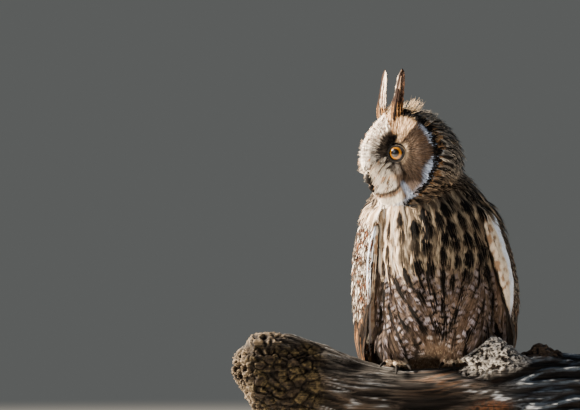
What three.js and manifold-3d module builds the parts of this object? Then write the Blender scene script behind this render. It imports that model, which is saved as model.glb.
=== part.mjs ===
// Long-eared owl at rest on a short length of weathered branch, held up by a display stand.
// Millimetres, +Z up. The body faces -Y, the head is turned towards -X and the branch runs along X.
// The origin is the middle of the underside of the stand's base. The bird and the branch are drawn
// from the level of its feet, and one group lifts them to PERCH_LEVEL.

import * as THREE from 'three';
import { LoftGeometry } from 'three/addons/geometries/LoftGeometry.js';
import * as BufferGeometryUtils from 'three/addons/utils/BufferGeometryUtils.js';
import Module from 'manifold-3d';

const wasm = await Module();
wasm.setup();

// Driving dimensions
const GAP = 0.3;                    // clearance between pieces that touch
const PERCH_LEVEL = 142;            // top of the branch under the feet, above the floor
const TAIL_TIP = -105;              // the tail hangs this far below the feet
const WING_TIP = -113;              // and the folded wings a little further
const WING_SIDE = 70;               // from the middle of the body to the side of a folded wing
const HEAD_TURN = 62;               // degrees that the face is turned from the body's front
const FACE_X = -65.7;               // the middle of the face, where the two discs meet
const FACE_Y = -25.2;
const DISC_HALF_WIDTH = 45;         // from the middle of the face out to the rim of a disc
const EYE_RADIUS = 10;
const EYE_HEIGHT = 193.5;
const EYE_SPREAD = 13.8;            // from the middle of the head to an eyeball's centre
const EYE_DEPTH = 28;               // and from the front of the face back to it
const EYE_OUTWARD = 40;             // degrees that each eye looks away from straight ahead
const EYE_OPENING = 7.6;            // radius of the eyeball's part that shows
const EAR_TIP = 270;
const LEAN_START = 64;              // above this height the body leans
const LEAN = -0.08;                 // sideways, by this much of the height
const FOOT_RIGHT = { x: -35, y: -13 };
const FOOT_LEFT = { x: 13, y: -12 };
const BRANCH_LEFT = -184;
const BRANCH_RIGHT = 138;
const BASE_LENGTH = 230;
const BASE_DEPTH = 150;
const BASE_THICKNESS = 12;
const ROD_RADIUS = 4;
const ROD_SPREAD = 45;              // each rod stands this far from the middle
const ROD_DEPTH = 14;               // and is let into the branch by this much
const ROD_Y = -21;                  // under the middle of the branch

// Finishes of the pieces: colour, roughness and metalness
const FINISHES = {
  plumage: [0x8a6f55, 0.9, 0],
  face: [0xa98a68, 0.9, 0],
  wing: [0x6e5a48, 0.9, 0],
  tail: [0x7a6650, 0.9, 0],
  leg: [0xc9a57c, 0.9, 0],
  eye: [0xd98a12, 0.15, 0],
  horn: [0x201c1a, 0.4, 0],
  branch: [0x7c7a76, 0.85, 0],
  base: [0x2e2b29, 0.5, 0],
  rod: [0x8d8f92, 0.35, 1],
};

// Curves and numbers

// A smooth curve through rows of [t, value, value ...], which gives the values at any t.
function through(rows) {
  const last = rows.length - 1;
  const slope = (i, k) => {
    const a = rows[Math.max(i - 1, 0)];
    const b = rows[Math.min(i + 1, last)];
    return (b[k] - a[k]) / (b[0] - a[0]);
  };
  return (t) => {
    let i = 0;
    while (i < last - 1 && t > rows[i + 1][0]) i += 1;
    const span = rows[i + 1][0] - rows[i][0];
    const s = THREE.MathUtils.clamp((t - rows[i][0]) / span, 0, 1);
    const leave = s ** 3 - 2 * s ** 2 + s;
    const arrive = s ** 3 - s ** 2;
    const reached = 3 * s ** 2 - 2 * s ** 3;
    return rows[i].slice(1).map((value, j) => (
      (1 - reached) * value + leave * span * slope(i, j + 1)
      + reached * rows[i + 1][j + 1] + arrive * span * slope(i + 1, j + 1)
    ));
  };
}

function signedPower(value, power) {
  return Math.sign(value) * Math.abs(value) ** power;
}

// Evenly spaced numbers from a to b.
function spaced(a, b, count) {
  return Array.from({ length: count + 1 }, (_, i) => a + ((b - a) * i) / count);
}

// Solids

function loft(rings) {
  const shape = new LoftGeometry(rings, { closed: true, capStart: true, capEnd: true });
  return new THREE.BufferGeometry().copy(shape);
}

function solid(geometry) {
  const bare = geometry.clone();
  bare.deleteAttribute('normal');
  bare.deleteAttribute('uv');
  const merged = BufferGeometryUtils.mergeVertices(bare, 1e-4);
  return new wasm.Manifold(new wasm.Mesh({
    numProp: 3,
    vertProperties: new Float32Array(merged.attributes.position.array),
    triVerts: new Uint32Array(merged.index.array),
  }));
}

function surface(manifold) {
  const mesh = manifold.getMesh();
  const geometry = new THREE.BufferGeometry();
  geometry.setAttribute('position', new THREE.BufferAttribute(new Float32Array(mesh.vertProperties), 3));
  geometry.setIndex(new THREE.BufferAttribute(new Uint32Array(mesh.triVerts), 1));
  geometry.computeVertexNormals();
  return geometry;
}

// The same shape with its skin moved outwards by the gap, to cut a neighbour with room to spare.
function grown(geometry) {
  const bare = geometry.clone();
  bare.deleteAttribute('normal');
  bare.deleteAttribute('uv');
  const merged = BufferGeometryUtils.mergeVertices(bare, 1e-4);
  merged.computeVertexNormals();
  const { position, normal } = merged.attributes;
  for (let i = 0; i < position.count; i += 1) {
    position.setXYZ(
      i,
      position.getX(i) + GAP * normal.getX(i),
      position.getY(i) + GAP * normal.getY(i),
      position.getZ(i) + GAP * normal.getZ(i),
    );
  }
  return merged;
}

function cut(geometry, ...cutters) {
  let body = solid(geometry);
  for (const cutter of cutters) body = body.subtract(solid(grown(cutter)));
  const largest = body.decompose().sort((a, b) => b.volume() - a.volume())[0];
  return surface(largest);
}

// The upper and lower part of a shape, with a thin level cut between them.
function parted(geometry, height) {
  const body = solid(geometry);
  return [
    surface(body.trimByPlane([0, 0, 1], height + GAP / 2)),
    surface(body.trimByPlane([0, 0, -1], GAP / 2 - height)),
  ];
}

function mirrored(geometry) {
  const flipped = geometry.clone().scale(-1, 1, 1);
  const index = flipped.index.array;
  for (let i = 0; i < index.length; i += 3) {
    [index[i + 1], index[i + 2]] = [index[i + 2], index[i + 1]];
  }
  flipped.computeVertexNormals();
  return flipped;
}

// The upper body leans to one side, more the higher it is.
function leaned(geometry) {
  const { position } = geometry.attributes;
  for (let i = 0; i < position.count; i += 1) {
    position.setX(i, position.getX(i) + LEAN * Math.max(0, position.getZ(i) - LEAN_START));
  }
  geometry.computeVertexNormals();
  return geometry;
}

// A level ring of a rounded body. Its front and back are distances along Y.
function bodyRing(z, [halfWidth, front, back], squareness, sides) {
  return Array.from({ length: sides }, (_, i) => {
    const angle = (2 * Math.PI * i) / sides;
    return new THREE.Vector3(
      halfWidth * signedPower(Math.cos(angle), 2 / squareness),
      (front + back) / 2 + ((back - front) / 2) * signedPower(Math.sin(angle), 2 / squareness),
      z,
    );
  });
}

// A limb of round or flattened section along a curve. radii gives the two radii at t, the first
// one across the curve and level with the ground.
function limb(points, radii, steps, sides) {
  const curve = new THREE.CatmullRomCurve3(points);
  const rings = Array.from({ length: steps + 1 }, (_, i) => {
    const t = i / steps;
    const centre = curve.getPoint(t);
    const along = curve.getTangent(t);
    const across = new THREE.Vector3(0, 0, 1).cross(along);
    if (across.length() < 0.2) across.set(1, 0, 0);
    across.normalize();
    const over = along.clone().cross(across).normalize();
    const [wide, thick] = radii(t);
    return Array.from({ length: sides }, (_unused, j) => {
      const angle = (2 * Math.PI * j) / sides;
      return centre.clone()
        .addScaledVector(across, wide * Math.cos(angle))
        .addScaledVector(over, thick * Math.sin(angle));
    });
  });
  return loft(rings);
}

// The branch: a sinewy log with a broken left end, a sawn right end and a craggy knob

// Along x: height of its top, its half height, the y of its middle and its half depth.
const branchAt = through([
  [BRANCH_LEFT, 8, 10, -22, 16],
  [-176, 26, 30, -22, 30],
  [-166, 31, 36, -22, 34],
  [-140, 31, 40, -21, 38],
  [-105, 21, 41, -21, 37],
  [-70, 7, 39, -21, 34],
  [-38, -1, 37, -21, 34],
  [6, 0, 37, -21, 34],
  [40, 4, 38, -22, 34],
  [76, 11, 41, -23, 36],
  [104, 13, 41, -23, 37],
  [BRANCH_RIGHT, 10, 39, -23, 36],
]);

// Long ropes of grain wind slowly along the log.
function grain(x, angle) {
  const calm = THREE.MathUtils.smoothstep(Math.abs(x + 12), 20, 90);
  return 1
    + (0.012 + 0.03 * calm) * Math.sin(3 * angle + x / 34)
    + (0.008 + 0.02 * calm) * Math.sin(7 * angle - x / 23 + 1.3)
    + (0.004 + 0.014 * calm) * Math.sin(11 * angle + x / 9);
}

const BRANCH_SQUARENESS = 2.7;

function branchTop(x, y) {
  const [top, halfHeight, middle, halfDepth] = branchAt(x);
  const across = Math.min(Math.abs(y - middle) / halfDepth, 0.97);
  return top - halfHeight * (1 - (1 - across ** BRANCH_SQUARENESS) ** (1 / BRANCH_SQUARENESS));
}

function branchLog() {
  const sides = 16;
  const rings = spaced(BRANCH_LEFT, BRANCH_RIGHT, 19).map((x) => {
    const [top, halfHeight, middle, halfDepth] = branchAt(x);
    return Array.from({ length: sides }, (_, i) => {
      const angle = (2 * Math.PI * i) / sides;
      const swell = grain(x, angle);
      const ragged = x < BRANCH_LEFT + 1 ? 4 * Math.sin(3 * angle) : 0;
      return new THREE.Vector3(
        x + ragged,
        middle + halfDepth * swell * signedPower(Math.cos(angle), 2 / BRANCH_SQUARENESS),
        top - halfHeight + halfHeight * swell * signedPower(Math.sin(angle), 2 / BRANCH_SQUARENESS),
      );
    });
  });
  return loft(rings);
}

// The knobs of burr wood: centre, half sizes, how far each rises to a peak and where its crags begin.
const KNOBS = [
  { centre: [49, -43, 9], size: [29, 13, 21.5], peak: 0.7, seed: 1.2 },
  { centre: [94, -26, 9], size: [15, 13, 12], peak: 0.2, seed: 4.1 },
];

// A lump of burr wood: a ball that is drawn out to a peak and made craggy.
function burr(centre, size, peak, seed) {
  const lump = BufferGeometryUtils.mergeVertices(
    new THREE.IcosahedronGeometry(1, 2).deleteAttribute('normal').deleteAttribute('uv'),
    1e-4,
  );
  const { position } = lump.attributes;
  const point = new THREE.Vector3();
  for (let i = 0; i < position.count; i += 1) {
    point.fromBufferAttribute(position, i);
    const crag = 1
      + 0.07 * Math.sin(9 * point.x + seed) * Math.sin(8 * point.z + 2 * seed)
      + 0.05 * Math.sin(15 * point.x - 11 * point.z + seed);
    point.z *= 1 - peak * Math.abs(point.x);
    point.multiplyScalar(crag).multiply(size).add(centre);
    position.setXYZ(i, point.x, point.y, point.z);
  }
  return lump;
}

function rodSocket(x) {
  const length = ROD_DEPTH + 80;
  const socket = new THREE.CylinderGeometry(ROD_RADIUS + GAP, ROD_RADIUS + GAP, length, 14);
  return socket.rotateX(Math.PI / 2).translate(x, ROD_Y, rodTop(x) + GAP - length / 2);
}

function rodTop(x) {
  const [top, halfHeight] = branchAt(x);
  return top - 2 * halfHeight + ROD_DEPTH;
}

let branch = solid(branchLog());
for (const { centre, size, peak, seed } of KNOBS) {
  const lump = burr(new THREE.Vector3(...centre), new THREE.Vector3(...size), peak, seed);
  branch = branch.add(solid(lump));
}
for (const x of [-ROD_SPREAD, ROD_SPREAD]) branch = branch.subtract(solid(rodSocket(x)));
const branchShape = surface(branch);

// The body, from the feathers under the tail up into the head

// Along z: half width, front and back.
const bodyAt = through([
  [-50, 12, 40, 48],
  [-34, 22, 30, 51],
  [-16, 30, 17, 53],
  [-4, 38, 8, 54],
  [4, 45, -6, 55],
  [10, 51, -32, 55],
  [17, 55, -45, 56],
  [36, 57, -54, 57],
  [60, 59, -58, 58],
  [85, 58, -58, 58],
  [106, 57, -56, 57],
  [125, 57, -50, 55],
  [141, 58, -43, 53],
  [151, 57, -35.5, 51],
  [160, 52, -29, 48],
  [170, 44, -22, 42],
  [180, 34, -15, 35],
]);

const NECK_BASE = 141;
const BODY_SQUARENESS = 2.15;
const BODY_SIDES = 20;
const bodyHeights = [-50, -34, -16, -4, 4, 9, 15, 24, 38, 56, 76, 96, 114, 130, 142, 152, 162, 171, 180];
const bodyLoft = leaned(loft(bodyHeights.map((z) => bodyRing(z, bodyAt(z), BODY_SQUARENESS, BODY_SIDES))));

// The head, in its own frame: x to the bird's left, y backwards from the face, z above the feet

// Along z: y of the middle of the face, y and x of the disc's rim, and y of the back.
const headAt = through([
  [146, 20, 26, 14, 64],
  [150, 14, 28, 23, 76],
  [160, 9.5, 36, 33.5, 89],
  [170, 4.5, 43, 40, 95],
  [182, -1.5, 47, 43.5, 97],
  [194, -3, 48, DISC_HALF_WIDTH, 95],
  [206, 0.5, 45.5, 44, 90],
  [217, 8.5, 41, 39.5, 82],
  [226, 17, 37, 32, 73],
  [232, 25, 34, 22, 63],
  [235.5, 34, 38, 9, 52],
]);

// How deep the dish of a disc is at this height.
function dishDepth(z) {
  return 3.4 * Math.exp(-(((z - EYE_HEIGHT) / 22) ** 2));
}

function headRing(z) {
  const [front, rimY, rimX, back] = headAt(z);
  const brow = 3.5 * THREE.MathUtils.smoothstep(z, 172, 186) * THREE.MathUtils.smoothstep(-z, -224, -204);
  const onDisc = (share, push) => {
    const slant = new THREE.Vector2(rimX, rimY - front);
    const outward = new THREE.Vector2(slant.y, -slant.x).normalize();
    return [share * rimX + push * outward.x, front + share * slant.y + push * outward.y];
  };
  const half = [
    onDisc(0.2, brow + 1.2),
    onDisc(0.45, 0.6 - dishDepth(z)),
    onDisc(0.72, 1.5 - dishDepth(z) / 2),
    [rimX, rimY - 1],
    [rimX + 1.5, rimY + 0.24 * (back - rimY)],
    [rimX * 0.86, rimY + 0.6 * (back - rimY)],
    [rimX * 0.5, rimY + 0.9 * (back - rimY)],
  ];
  const right = half.map(([x, y]) => new THREE.Vector3(x, y, z));
  const left = half.map(([x, y]) => new THREE.Vector3(-x, y, z)).reverse();
  const outline = [new THREE.Vector3(0, front, z), ...right, new THREE.Vector3(0, back, z), ...left];
  const ring = new THREE.CatmullRomCurve3(outline, true, 'catmullrom', 0.5).getPoints(1.5 * outline.length);
  ring.pop();
  return ring;
}

const headHeights = [146, 150, 157, 165, 174, 183, 192, 200, 208, 216, 223, 229, 233, 235.5];
const headLoft = loft(headHeights.map(headRing));

function eyeball(side) {
  const ball = new THREE.SphereGeometry(EYE_RADIUS, 12, 9);
  return ball.translate(side * EYE_SPREAD, EYE_DEPTH, EYE_HEIGHT);
}

// A large ball in front of the eye, which hollows the face so that the eye shows.
function eyeHollow(side) {
  const radius = 24;
  const rise = Math.sqrt(EYE_RADIUS ** 2 - EYE_OPENING ** 2);
  const reach = rise + Math.sqrt(radius ** 2 - EYE_OPENING ** 2);
  const turn = THREE.MathUtils.degToRad(EYE_OUTWARD);
  return new THREE.SphereGeometry(radius, 14, 12).translate(
    side * (EYE_SPREAD + reach * Math.sin(turn)),
    EYE_DEPTH - reach * Math.cos(turn),
    EYE_HEIGHT,
  );
}

// The hooked upper bill. Its ridge runs down from the face and curls under to a point.
function upperBill() {
  const path = [[14, 179], [6, 176.5], [3.0, 170], [4.0, 163.5], [7.4, 157]];
  const width = through([[0, 3.6, 4.6], [0.4, 4.4, 5.2], [0.75, 3, 3.4], [1, 0.4, 0.5]]);
  const points = path.map(([y, z]) => new THREE.Vector3(0, y + 3, z));
  return limb(points, width, 8, 10);
}

function lowerBill() {
  const points = [[15, 170], [11, 164.5], [8, 158.5]].map(([y, z]) => new THREE.Vector3(0, y + 2, z));
  const width = through([[0, 3.8, 2.6], [0.6, 3, 2.2], [1, 0.8, 0.6]]);
  return limb(points, width, 5, 8);
}

// A tuft of long feathers above the eye, flat and pointed.
const EAR_ROOT = 221;
const EAR_OUTWARD = 0.5;            // radians that the tuft's flat side is turned outwards

function earTuft(side) {
  const points = [[13, 27, EAR_ROOT], [14, 25.5, 234], [15, 27.5, 250], [15.5, 30.5, EAR_TIP]]
    .map(([x, y, z]) => new THREE.Vector3(side * x, y, z));
  const middle = new THREE.CatmullRomCurve3(points);
  const halves = through([[0, 7, 4.6], [0.3, 7.2, 4.6], [0.65, 5.2, 3.4], [0.9, 2.6, 1.8], [1, 1, 0.8]]);
  const up = new THREE.Vector3(0, 0, 1);
  const sides = 8;
  const rings = spaced(0, 1, 7).map((t) => {
    const centre = middle.getPoint(t);
    const [across, deep] = halves(t);
    return Array.from({ length: sides }, (_, j) => {
      const angle = (2 * Math.PI * j) / sides;
      const corner = new THREE.Vector3(across * Math.cos(angle), deep * Math.sin(angle), 0);
      return corner.applyAxisAngle(up, side * EAR_OUTWARD).add(centre);
    });
  });
  return loft(rings);
}

// The folded wings

// Along z: the leading edge, the side and the back edge in plan, and the thickness. The side is
// drawn at TABLE_SIDE where it is widest.
const TABLE_SIDE = 71.5;
const wingAt = through([
  [WING_TIP, 17, 63, 15, 68, 11, 71, 4],
  [-100, 24, 56, 22, 65, 10, 72, 6],
  [-70, 37, 47, 35, 61, 9, 73, 8],
  [-34, 50, 30, 51, 46, 7, 72, 9],
  [-8, 58, 14, 60, 32, 6, 70, 11],
  [14, 61, -2, 67, 20, 8, 68, 13],
  [36, 59, -15, 71, 12, 8, 67, 15],
  [64, 58, -27, 71.5, 6, 9, 66, 17],
  [88, 56, -31, 70, 3, 11, 64, 17],
  [108, 53, -31, 67, 1, 14, 61, 16],
  [128, 49, -28, 62, 1, 18, 58, 14],
  [143, 44, -24, 57, 3, 22, 53, 11],
  [151, 41, -16, 52, 6, 27, 49, 7],
]);

function wingRing(z) {
  const [edgeX, edgeY, sideX, sideY, backX, backY, thickness] = wingAt(z);
  const wide = (WING_SIDE / TABLE_SIDE) * sideX;
  const middle = new THREE.CatmullRomCurve3([
    new THREE.Vector3(edgeX, edgeY, z),
    new THREE.Vector3(wide, sideY, z),
    new THREE.Vector3((wide * 0.85 + backX) / 2 + 6, (sideY + backY) / 2 + 9, z),
    new THREE.Vector3(backX, backY, z),
  ]);
  const steps = 7;
  const outer = [];
  const inner = [];
  for (let i = 0; i <= steps; i += 1) {
    const t = i / steps;
    const point = middle.getPoint(t);
    const along = middle.getTangent(t);
    const half = (thickness / 2) * Math.sqrt(Math.sin(Math.PI * (0.06 + 0.88 * t)));
    const outward = new THREE.Vector3(along.y, -along.x, 0).normalize();
    outer.push(point.clone().addScaledVector(outward, half));
    inner.unshift(point.clone().addScaledVector(outward, -half));
  }
  return [...outer, ...inner];
}

const wingHeights = [WING_TIP, -100, -78, -54, -30, -6, 16, 36, 56, 76, 96, 114, 130, 143, 151];
const WING_SPLIT = 28;              // the quills of the hand show below this height
const wingLoft = loft(wingHeights.map(wingRing));

// The tail, narrow and closed

function tailLoft() {
  const tailAt = through([
    [TAIL_TIP, 19, 55, 58],
    [-98, 27, 53.5, 58.5],
    [-60, 29, 52.5, 60],
    [-20, 26, 53, 61],
    [20, 20, 54, 62],
  ]);
  return loft(spaced(TAIL_TIP, 20, 6).map((z) => bodyRing(z, tailAt(z), 2.8, 14)));
}

// Legs, toes and claws

// A feathered leg from the belly down to the foot.
function leg(foot) {
  const points = [
    new THREE.Vector3(foot.x * 0.72 + 4, 4, 34),
    new THREE.Vector3(foot.x * 0.9 + 1, -4, 18),
    new THREE.Vector3(foot.x, foot.y, branchTop(foot.x, foot.y) + 5),
  ];
  const girth = through([[0, 13, 13], [0.5, 10.5, 11], [0.85, 8, 8.5], [1, 6.5, 6.5]]);
  return limb(points, girth, 5, 8);
}

// Headings of the toes in degrees from straight ahead, towards the bird's outer side, and lengths.
const TOES = [
  { name: 'inner', heading: -24, length: 19 },
  { name: 'middle', heading: 4, length: 23 },
  { name: 'outer', heading: 34, length: 21 },
  { name: 'hind', heading: 190, length: 13 },
];
const TOE_RADIUS = 4.3;
const CLAW_RADIUS = 1.9;

// A point on the branch, straight ahead of the foot by this far.
function onBranch(foot, side, heading, distance, lift) {
  const angle = THREE.MathUtils.degToRad(heading);
  const x = foot.x + side * distance * Math.sin(angle);
  const y = foot.y - distance * Math.cos(angle);
  return new THREE.Vector3(x, y, branchTop(x, y) + lift);
}

function toe(foot, side, { heading, length }) {
  const points = [0, 0.4, 0.75, 1].map((share) => (
    onBranch(foot, side, heading, share * length, TOE_RADIUS * (1.2 - 0.15 * share))
  ));
  const girth = through([[0, 4.6, 4.4], [0.55, 4.3, 4.1], [0.9, 3.7, 3.4], [1, 2.6, 2.4]]);
  return limb(points, girth, 4, 6);
}

function claw(foot, side, { heading, length }) {
  const points = [
    onBranch(foot, side, heading, length - 1, 3.8),
    onBranch(foot, side, heading, length + 4, 3.8),
    onBranch(foot, side, heading, length + 7.5, 2.2),
    onBranch(foot, side, heading, length + 9, 0.9),
  ];
  const girth = through([[0, CLAW_RADIUS, CLAW_RADIUS], [0.6, 1.3, 1.4], [1, 0.35, 0.35]]);
  return limb(points, girth, 4, 5);
}

// The stand: a flat plate with rounded corners and two rods

function standBase() {
  const corner = 14;
  const x = BASE_LENGTH / 2;
  const y = BASE_DEPTH / 2;
  const outline = new THREE.Shape();
  outline.absarc(x - corner, y - corner, corner, 0, Math.PI / 2);
  outline.absarc(-x + corner, y - corner, corner, Math.PI / 2, Math.PI);
  outline.absarc(-x + corner, -y + corner, corner, Math.PI, 1.5 * Math.PI);
  outline.absarc(x - corner, -y + corner, corner, 1.5 * Math.PI, 2 * Math.PI);
  const chamfer = 1.2;
  return new THREE.ExtrudeGeometry(outline, {
    depth: BASE_THICKNESS - chamfer,
    curveSegments: 3,
    bevelEnabled: true,
    bevelThickness: chamfer / 2,
    bevelSize: chamfer / 2,
    bevelOffset: -chamfer / 2,
    bevelSegments: 1,
  }).translate(0, 0, chamfer / 2 - PERCH_LEVEL);
}

function standRod(x) {
  const bottom = BASE_THICKNESS + GAP - PERCH_LEVEL;
  const height = rodTop(x) - bottom;
  const rod = new THREE.CylinderGeometry(ROD_RADIUS, ROD_RADIUS, height, 14);
  return rod.rotateX(Math.PI / 2).translate(x, ROD_Y, bottom + height / 2);
}

// The scene graph

const display = new THREE.Group();
const lifted = new THREE.Group();
const headGroup = new THREE.Group();
lifted.position.z = PERCH_LEVEL;
headGroup.rotation.z = THREE.MathUtils.degToRad(-HEAD_TURN);
headGroup.position.set(FACE_X, FACE_Y, 0);
display.add(lifted);
lifted.add(headGroup);
headGroup.updateMatrix();

function piece(name, geometry, finish, group = lifted) {
  const [color, roughness, metalness] = FINISHES[finish];
  const mesh = new THREE.Mesh(geometry, new THREE.MeshStandardMaterial({ color, roughness, metalness }));
  mesh.name = name;
  group.add(mesh);
}

const SIDES = [
  { name: 'left', sign: 1, foot: FOOT_LEFT },
  { name: 'right', sign: -1, foot: FOOT_RIGHT },
];

// Head pieces are cut in the head's own frame.
const eyes = SIDES.map(({ sign }) => eyeball(sign));
const upper = upperBill();
const lower = cut(lowerBill(), upper);
const tufts = SIDES.map(({ sign }) => earTuft(sign));
const hollows = SIDES.map(({ sign }) => eyeHollow(sign));
const head = cut(headLoft, ...hollows, ...eyes, upper, lower, ...tufts);
piece('head', head, 'face', headGroup);
piece('bill_upper', upper, 'horn', headGroup);
piece('bill_lower', lower, 'horn', headGroup);
SIDES.forEach(({ name }, i) => {
  piece(`eye_${name}`, eyes[i], 'eye', headGroup);
  piece(`ear_tuft_${name}`, tufts[i], 'plumage', headGroup);
});

// The rest is cut in the bird's frame, the head first.
const headInPlace = headLoft.clone().applyMatrix4(headGroup.matrix);
const [neckPart, trunkPart] = parted(bodyLoft, NECK_BASE);
piece('neck', cut(neckPart, headInPlace), 'plumage');

const legs = SIDES.map(({ name, sign, foot }) => {
  const toes = TOES.map((spec) => solid(toe(foot, sign, spec)));
  const shape = cut(surface(wasm.Manifold.union([solid(leg(foot)), ...toes])), branchShape);
  const claws = TOES.map((spec) => ({
    name: spec.name,
    shape: cut(claw(foot, sign, spec), shape, branchShape),
  }));
  return { name, shape, claws };
});

const underBelly = legs.flatMap(({ shape, claws }) => [shape, ...claws.map((claw) => claw.shape)]);
piece('trunk', cut(trunkPart, branchShape, ...underBelly), 'plumage');

const wings = SIDES.map(({ name, sign }) => {
  const whole = leaned(sign > 0 ? wingLoft.clone() : mirrored(wingLoft));
  const trimmed = cut(whole, bodyLoft, headInPlace, branchShape);
  return { name, trimmed };
});
const tail = cut(tailLoft(), bodyLoft, ...wings.map((wing) => wing.trimmed));
piece('tail', tail, 'tail');

for (const { name, trimmed } of wings) {
  const [coverts, quills] = parted(trimmed, WING_SPLIT);
  piece(`wing_${name}`, coverts, 'wing');
  piece(`wing_quills_${name}`, quills, 'wing');
}

for (const { name, shape, claws } of legs) {
  piece(`leg_${name}`, shape, 'leg');
  for (const claw of claws) piece(`claw_${name}_${claw.name}`, claw.shape, 'horn');
}

piece('perch', branchShape, 'branch');
piece('stand_base', standBase(), 'base');
piece('stand_rod_left', standRod(ROD_SPREAD), 'rod');
piece('stand_rod_right', standRod(-ROD_SPREAD), 'rod');

export default display;
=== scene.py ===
# Long-eared owl on a cut branch: one skin, a coat of mesh feathers, eyes, wood, light and camera.
# Plumage is worked out in millimetres above the bird's feet and turned to metres as each mesh is made.

import math

import bpy
import numpy as np
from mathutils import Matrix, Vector, noise
from mathutils.bvhtree import BVHTree
from mathutils.kdtree import KDTree


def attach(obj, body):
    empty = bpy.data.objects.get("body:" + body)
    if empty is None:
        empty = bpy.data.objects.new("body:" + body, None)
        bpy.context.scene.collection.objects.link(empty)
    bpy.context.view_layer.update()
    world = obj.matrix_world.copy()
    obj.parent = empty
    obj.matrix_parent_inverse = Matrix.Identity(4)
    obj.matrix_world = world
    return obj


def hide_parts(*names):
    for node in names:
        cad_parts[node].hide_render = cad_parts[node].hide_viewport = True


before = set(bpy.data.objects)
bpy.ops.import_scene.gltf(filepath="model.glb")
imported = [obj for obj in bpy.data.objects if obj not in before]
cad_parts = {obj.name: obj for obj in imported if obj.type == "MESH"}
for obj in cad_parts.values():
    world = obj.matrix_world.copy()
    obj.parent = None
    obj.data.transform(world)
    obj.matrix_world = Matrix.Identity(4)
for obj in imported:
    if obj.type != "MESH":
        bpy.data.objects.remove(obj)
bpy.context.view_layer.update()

MM = 0.001
PERCH_LEVEL = 142.0                 # mm from the floor to the top of the branch under the feet
FACE_X, FACE_Y = -65.7, -25.2       # the middle of the face
HEAD_TURN = math.radians(62)
EYE_HEIGHT, EYE_SPREAD, EYE_DEPTH = 193.5, 13.8, 28.0
EYE_OUTWARD = math.radians(40)
EYE_RADIUS = 10.0
EYE_ALONG_DISC = 32                 # mm along the disc from the middle of the face to the eye
LID_TOP, LID_BOTTOM = 32.0, 43.0    # degrees off the pupil where the upper and lower lid begin
LEAN_START, LEAN = 64.0, -0.08      # above this height the body leans by this share
VOXEL = 1.9                         # mm between the points of the skin

SENSOR = 36                         # mm
PHOTO_WIDTH, MM_PER_PIXEL = 580, 0.91
CAMERA_AWAY = 4000

FLESH = ["head", "neck", "trunk", "tail", "wing_left", "wing_right", "wing_quills_left",
         "wing_quills_right", "ear_tuft_left", "ear_tuft_right", "leg_left", "leg_right"]
WING_NODES = ["wing_left", "wing_right", "wing_quills_left", "wing_quills_right"]
SIDES = ((1, "left"), (-1, "right"))


# Small tools

def linear(colour):
    """An sRGB hex colour as linear numbers. Numbers are passed on as they are."""
    if not isinstance(colour, str):
        return colour
    parts = [int(colour[i:i + 2], 16) / 255 for i in (1, 3, 5)]
    return np.array([c / 12.92 if c <= 0.04045 else ((c + 0.055) / 1.055) ** 2.4 for c in parts])


def node(tree, kind, inputs=None, **settings):
    """Adds a node. settings are its own properties. An input is a value, a colour in hex, the socket that
    feeds it, or a node that feeds it from its first output."""
    made = tree.nodes.new(kind)
    for name, value in settings.items():
        setattr(made, name, value)
    for key, value in (inputs or {}).items():
        if isinstance(value, bpy.types.Node):
            tree.links.new(value.outputs[0], made.inputs[key])
        elif isinstance(value, bpy.types.NodeSocket):
            tree.links.new(value, made.inputs[key])
        else:
            made.inputs[key].default_value = (*linear(value), 1) if isinstance(value, str) else value
    return made


def open_finish(name):
    """A new material, and its empty tree of nodes."""
    material = bpy.data.materials.new(name)
    material.use_nodes = True
    material.node_tree.nodes.clear()
    return material, material.node_tree


def smooth(a, b, x):
    """0 where x is at a, 1 where it is at b, with soft ends."""
    t = np.clip((x - a) / (b - a), 0, 1)
    return t * t * (3 - 2 * t)


def bell(x, centre, width):
    return np.exp(-(((x - centre) / width) ** 2))


def mix(a, b, share):
    """From colour a to colour b by a share. Either may be given in hex."""
    a, b = linear(a), linear(b)
    return a + (b - a) * np.asarray(share)[..., None]


def lay(colour, over, share):
    """A colour with another laid over it. The share that this covers is kept between 0 and 1."""
    return mix(colour, over, np.clip(share, 0, 1))


def dealt(draw, hands, rest):
    """Colours dealt by a random number for each feather: hands holds limits and the colours below them."""
    for limit, colour in reversed(hands):
        rest = np.where(draw[:, None] < limit, linear(colour), rest)
    return rest


def unit(v):
    return v / np.maximum(np.linalg.norm(v, axis=-1, keepdims=True), 1e-9)


def through(rows):
    """A smooth curve through rows of [t, value, ...]: a function of an array of t."""
    table = np.array(rows, float)
    t, values = table[:, 0], table[:, 1:]
    ahead = np.minimum(np.arange(len(t)) + 1, len(t) - 1)
    behind = np.maximum(np.arange(len(t)) - 1, 0)
    slope = (values[ahead] - values[behind]) / (t[ahead] - t[behind])[:, None]

    def at(x):
        x = np.atleast_1d(np.asarray(x, float))
        i = np.clip(np.searchsorted(t, x) - 1, 0, len(t) - 2)
        span = (t[i + 1] - t[i])[:, None]
        s = np.clip((x[:, None] - t[i][:, None]) / span, 0, 1)
        return ((2 * s ** 3 - 3 * s ** 2 + 1) * values[i] + (s ** 3 - 2 * s ** 2 + s) * span * slope[i]
                + (3 * s ** 2 - 2 * s ** 3) * values[i + 1] + (s ** 3 - s ** 2) * span * slope[i + 1])
    return at


def patches(points, size, seed=0):
    """Soft random numbers from -1 to 1 in patches of this size, in mm."""
    shift = Vector((seed * 17.3, seed * -9.1, seed * 5.7))
    return np.array([noise.noise(Vector(p) / size + shift) for p in points])


def to_head(points):
    """From the bird's frame to the head's: x to its left, y backwards from the face, z up."""
    dx, dy = points[..., 0] - FACE_X, points[..., 1] - FACE_Y
    c, s = math.cos(HEAD_TURN), math.sin(HEAD_TURN)
    return np.stack([c * dx - s * dy, s * dx + c * dy, points[..., 2]], -1)


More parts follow.
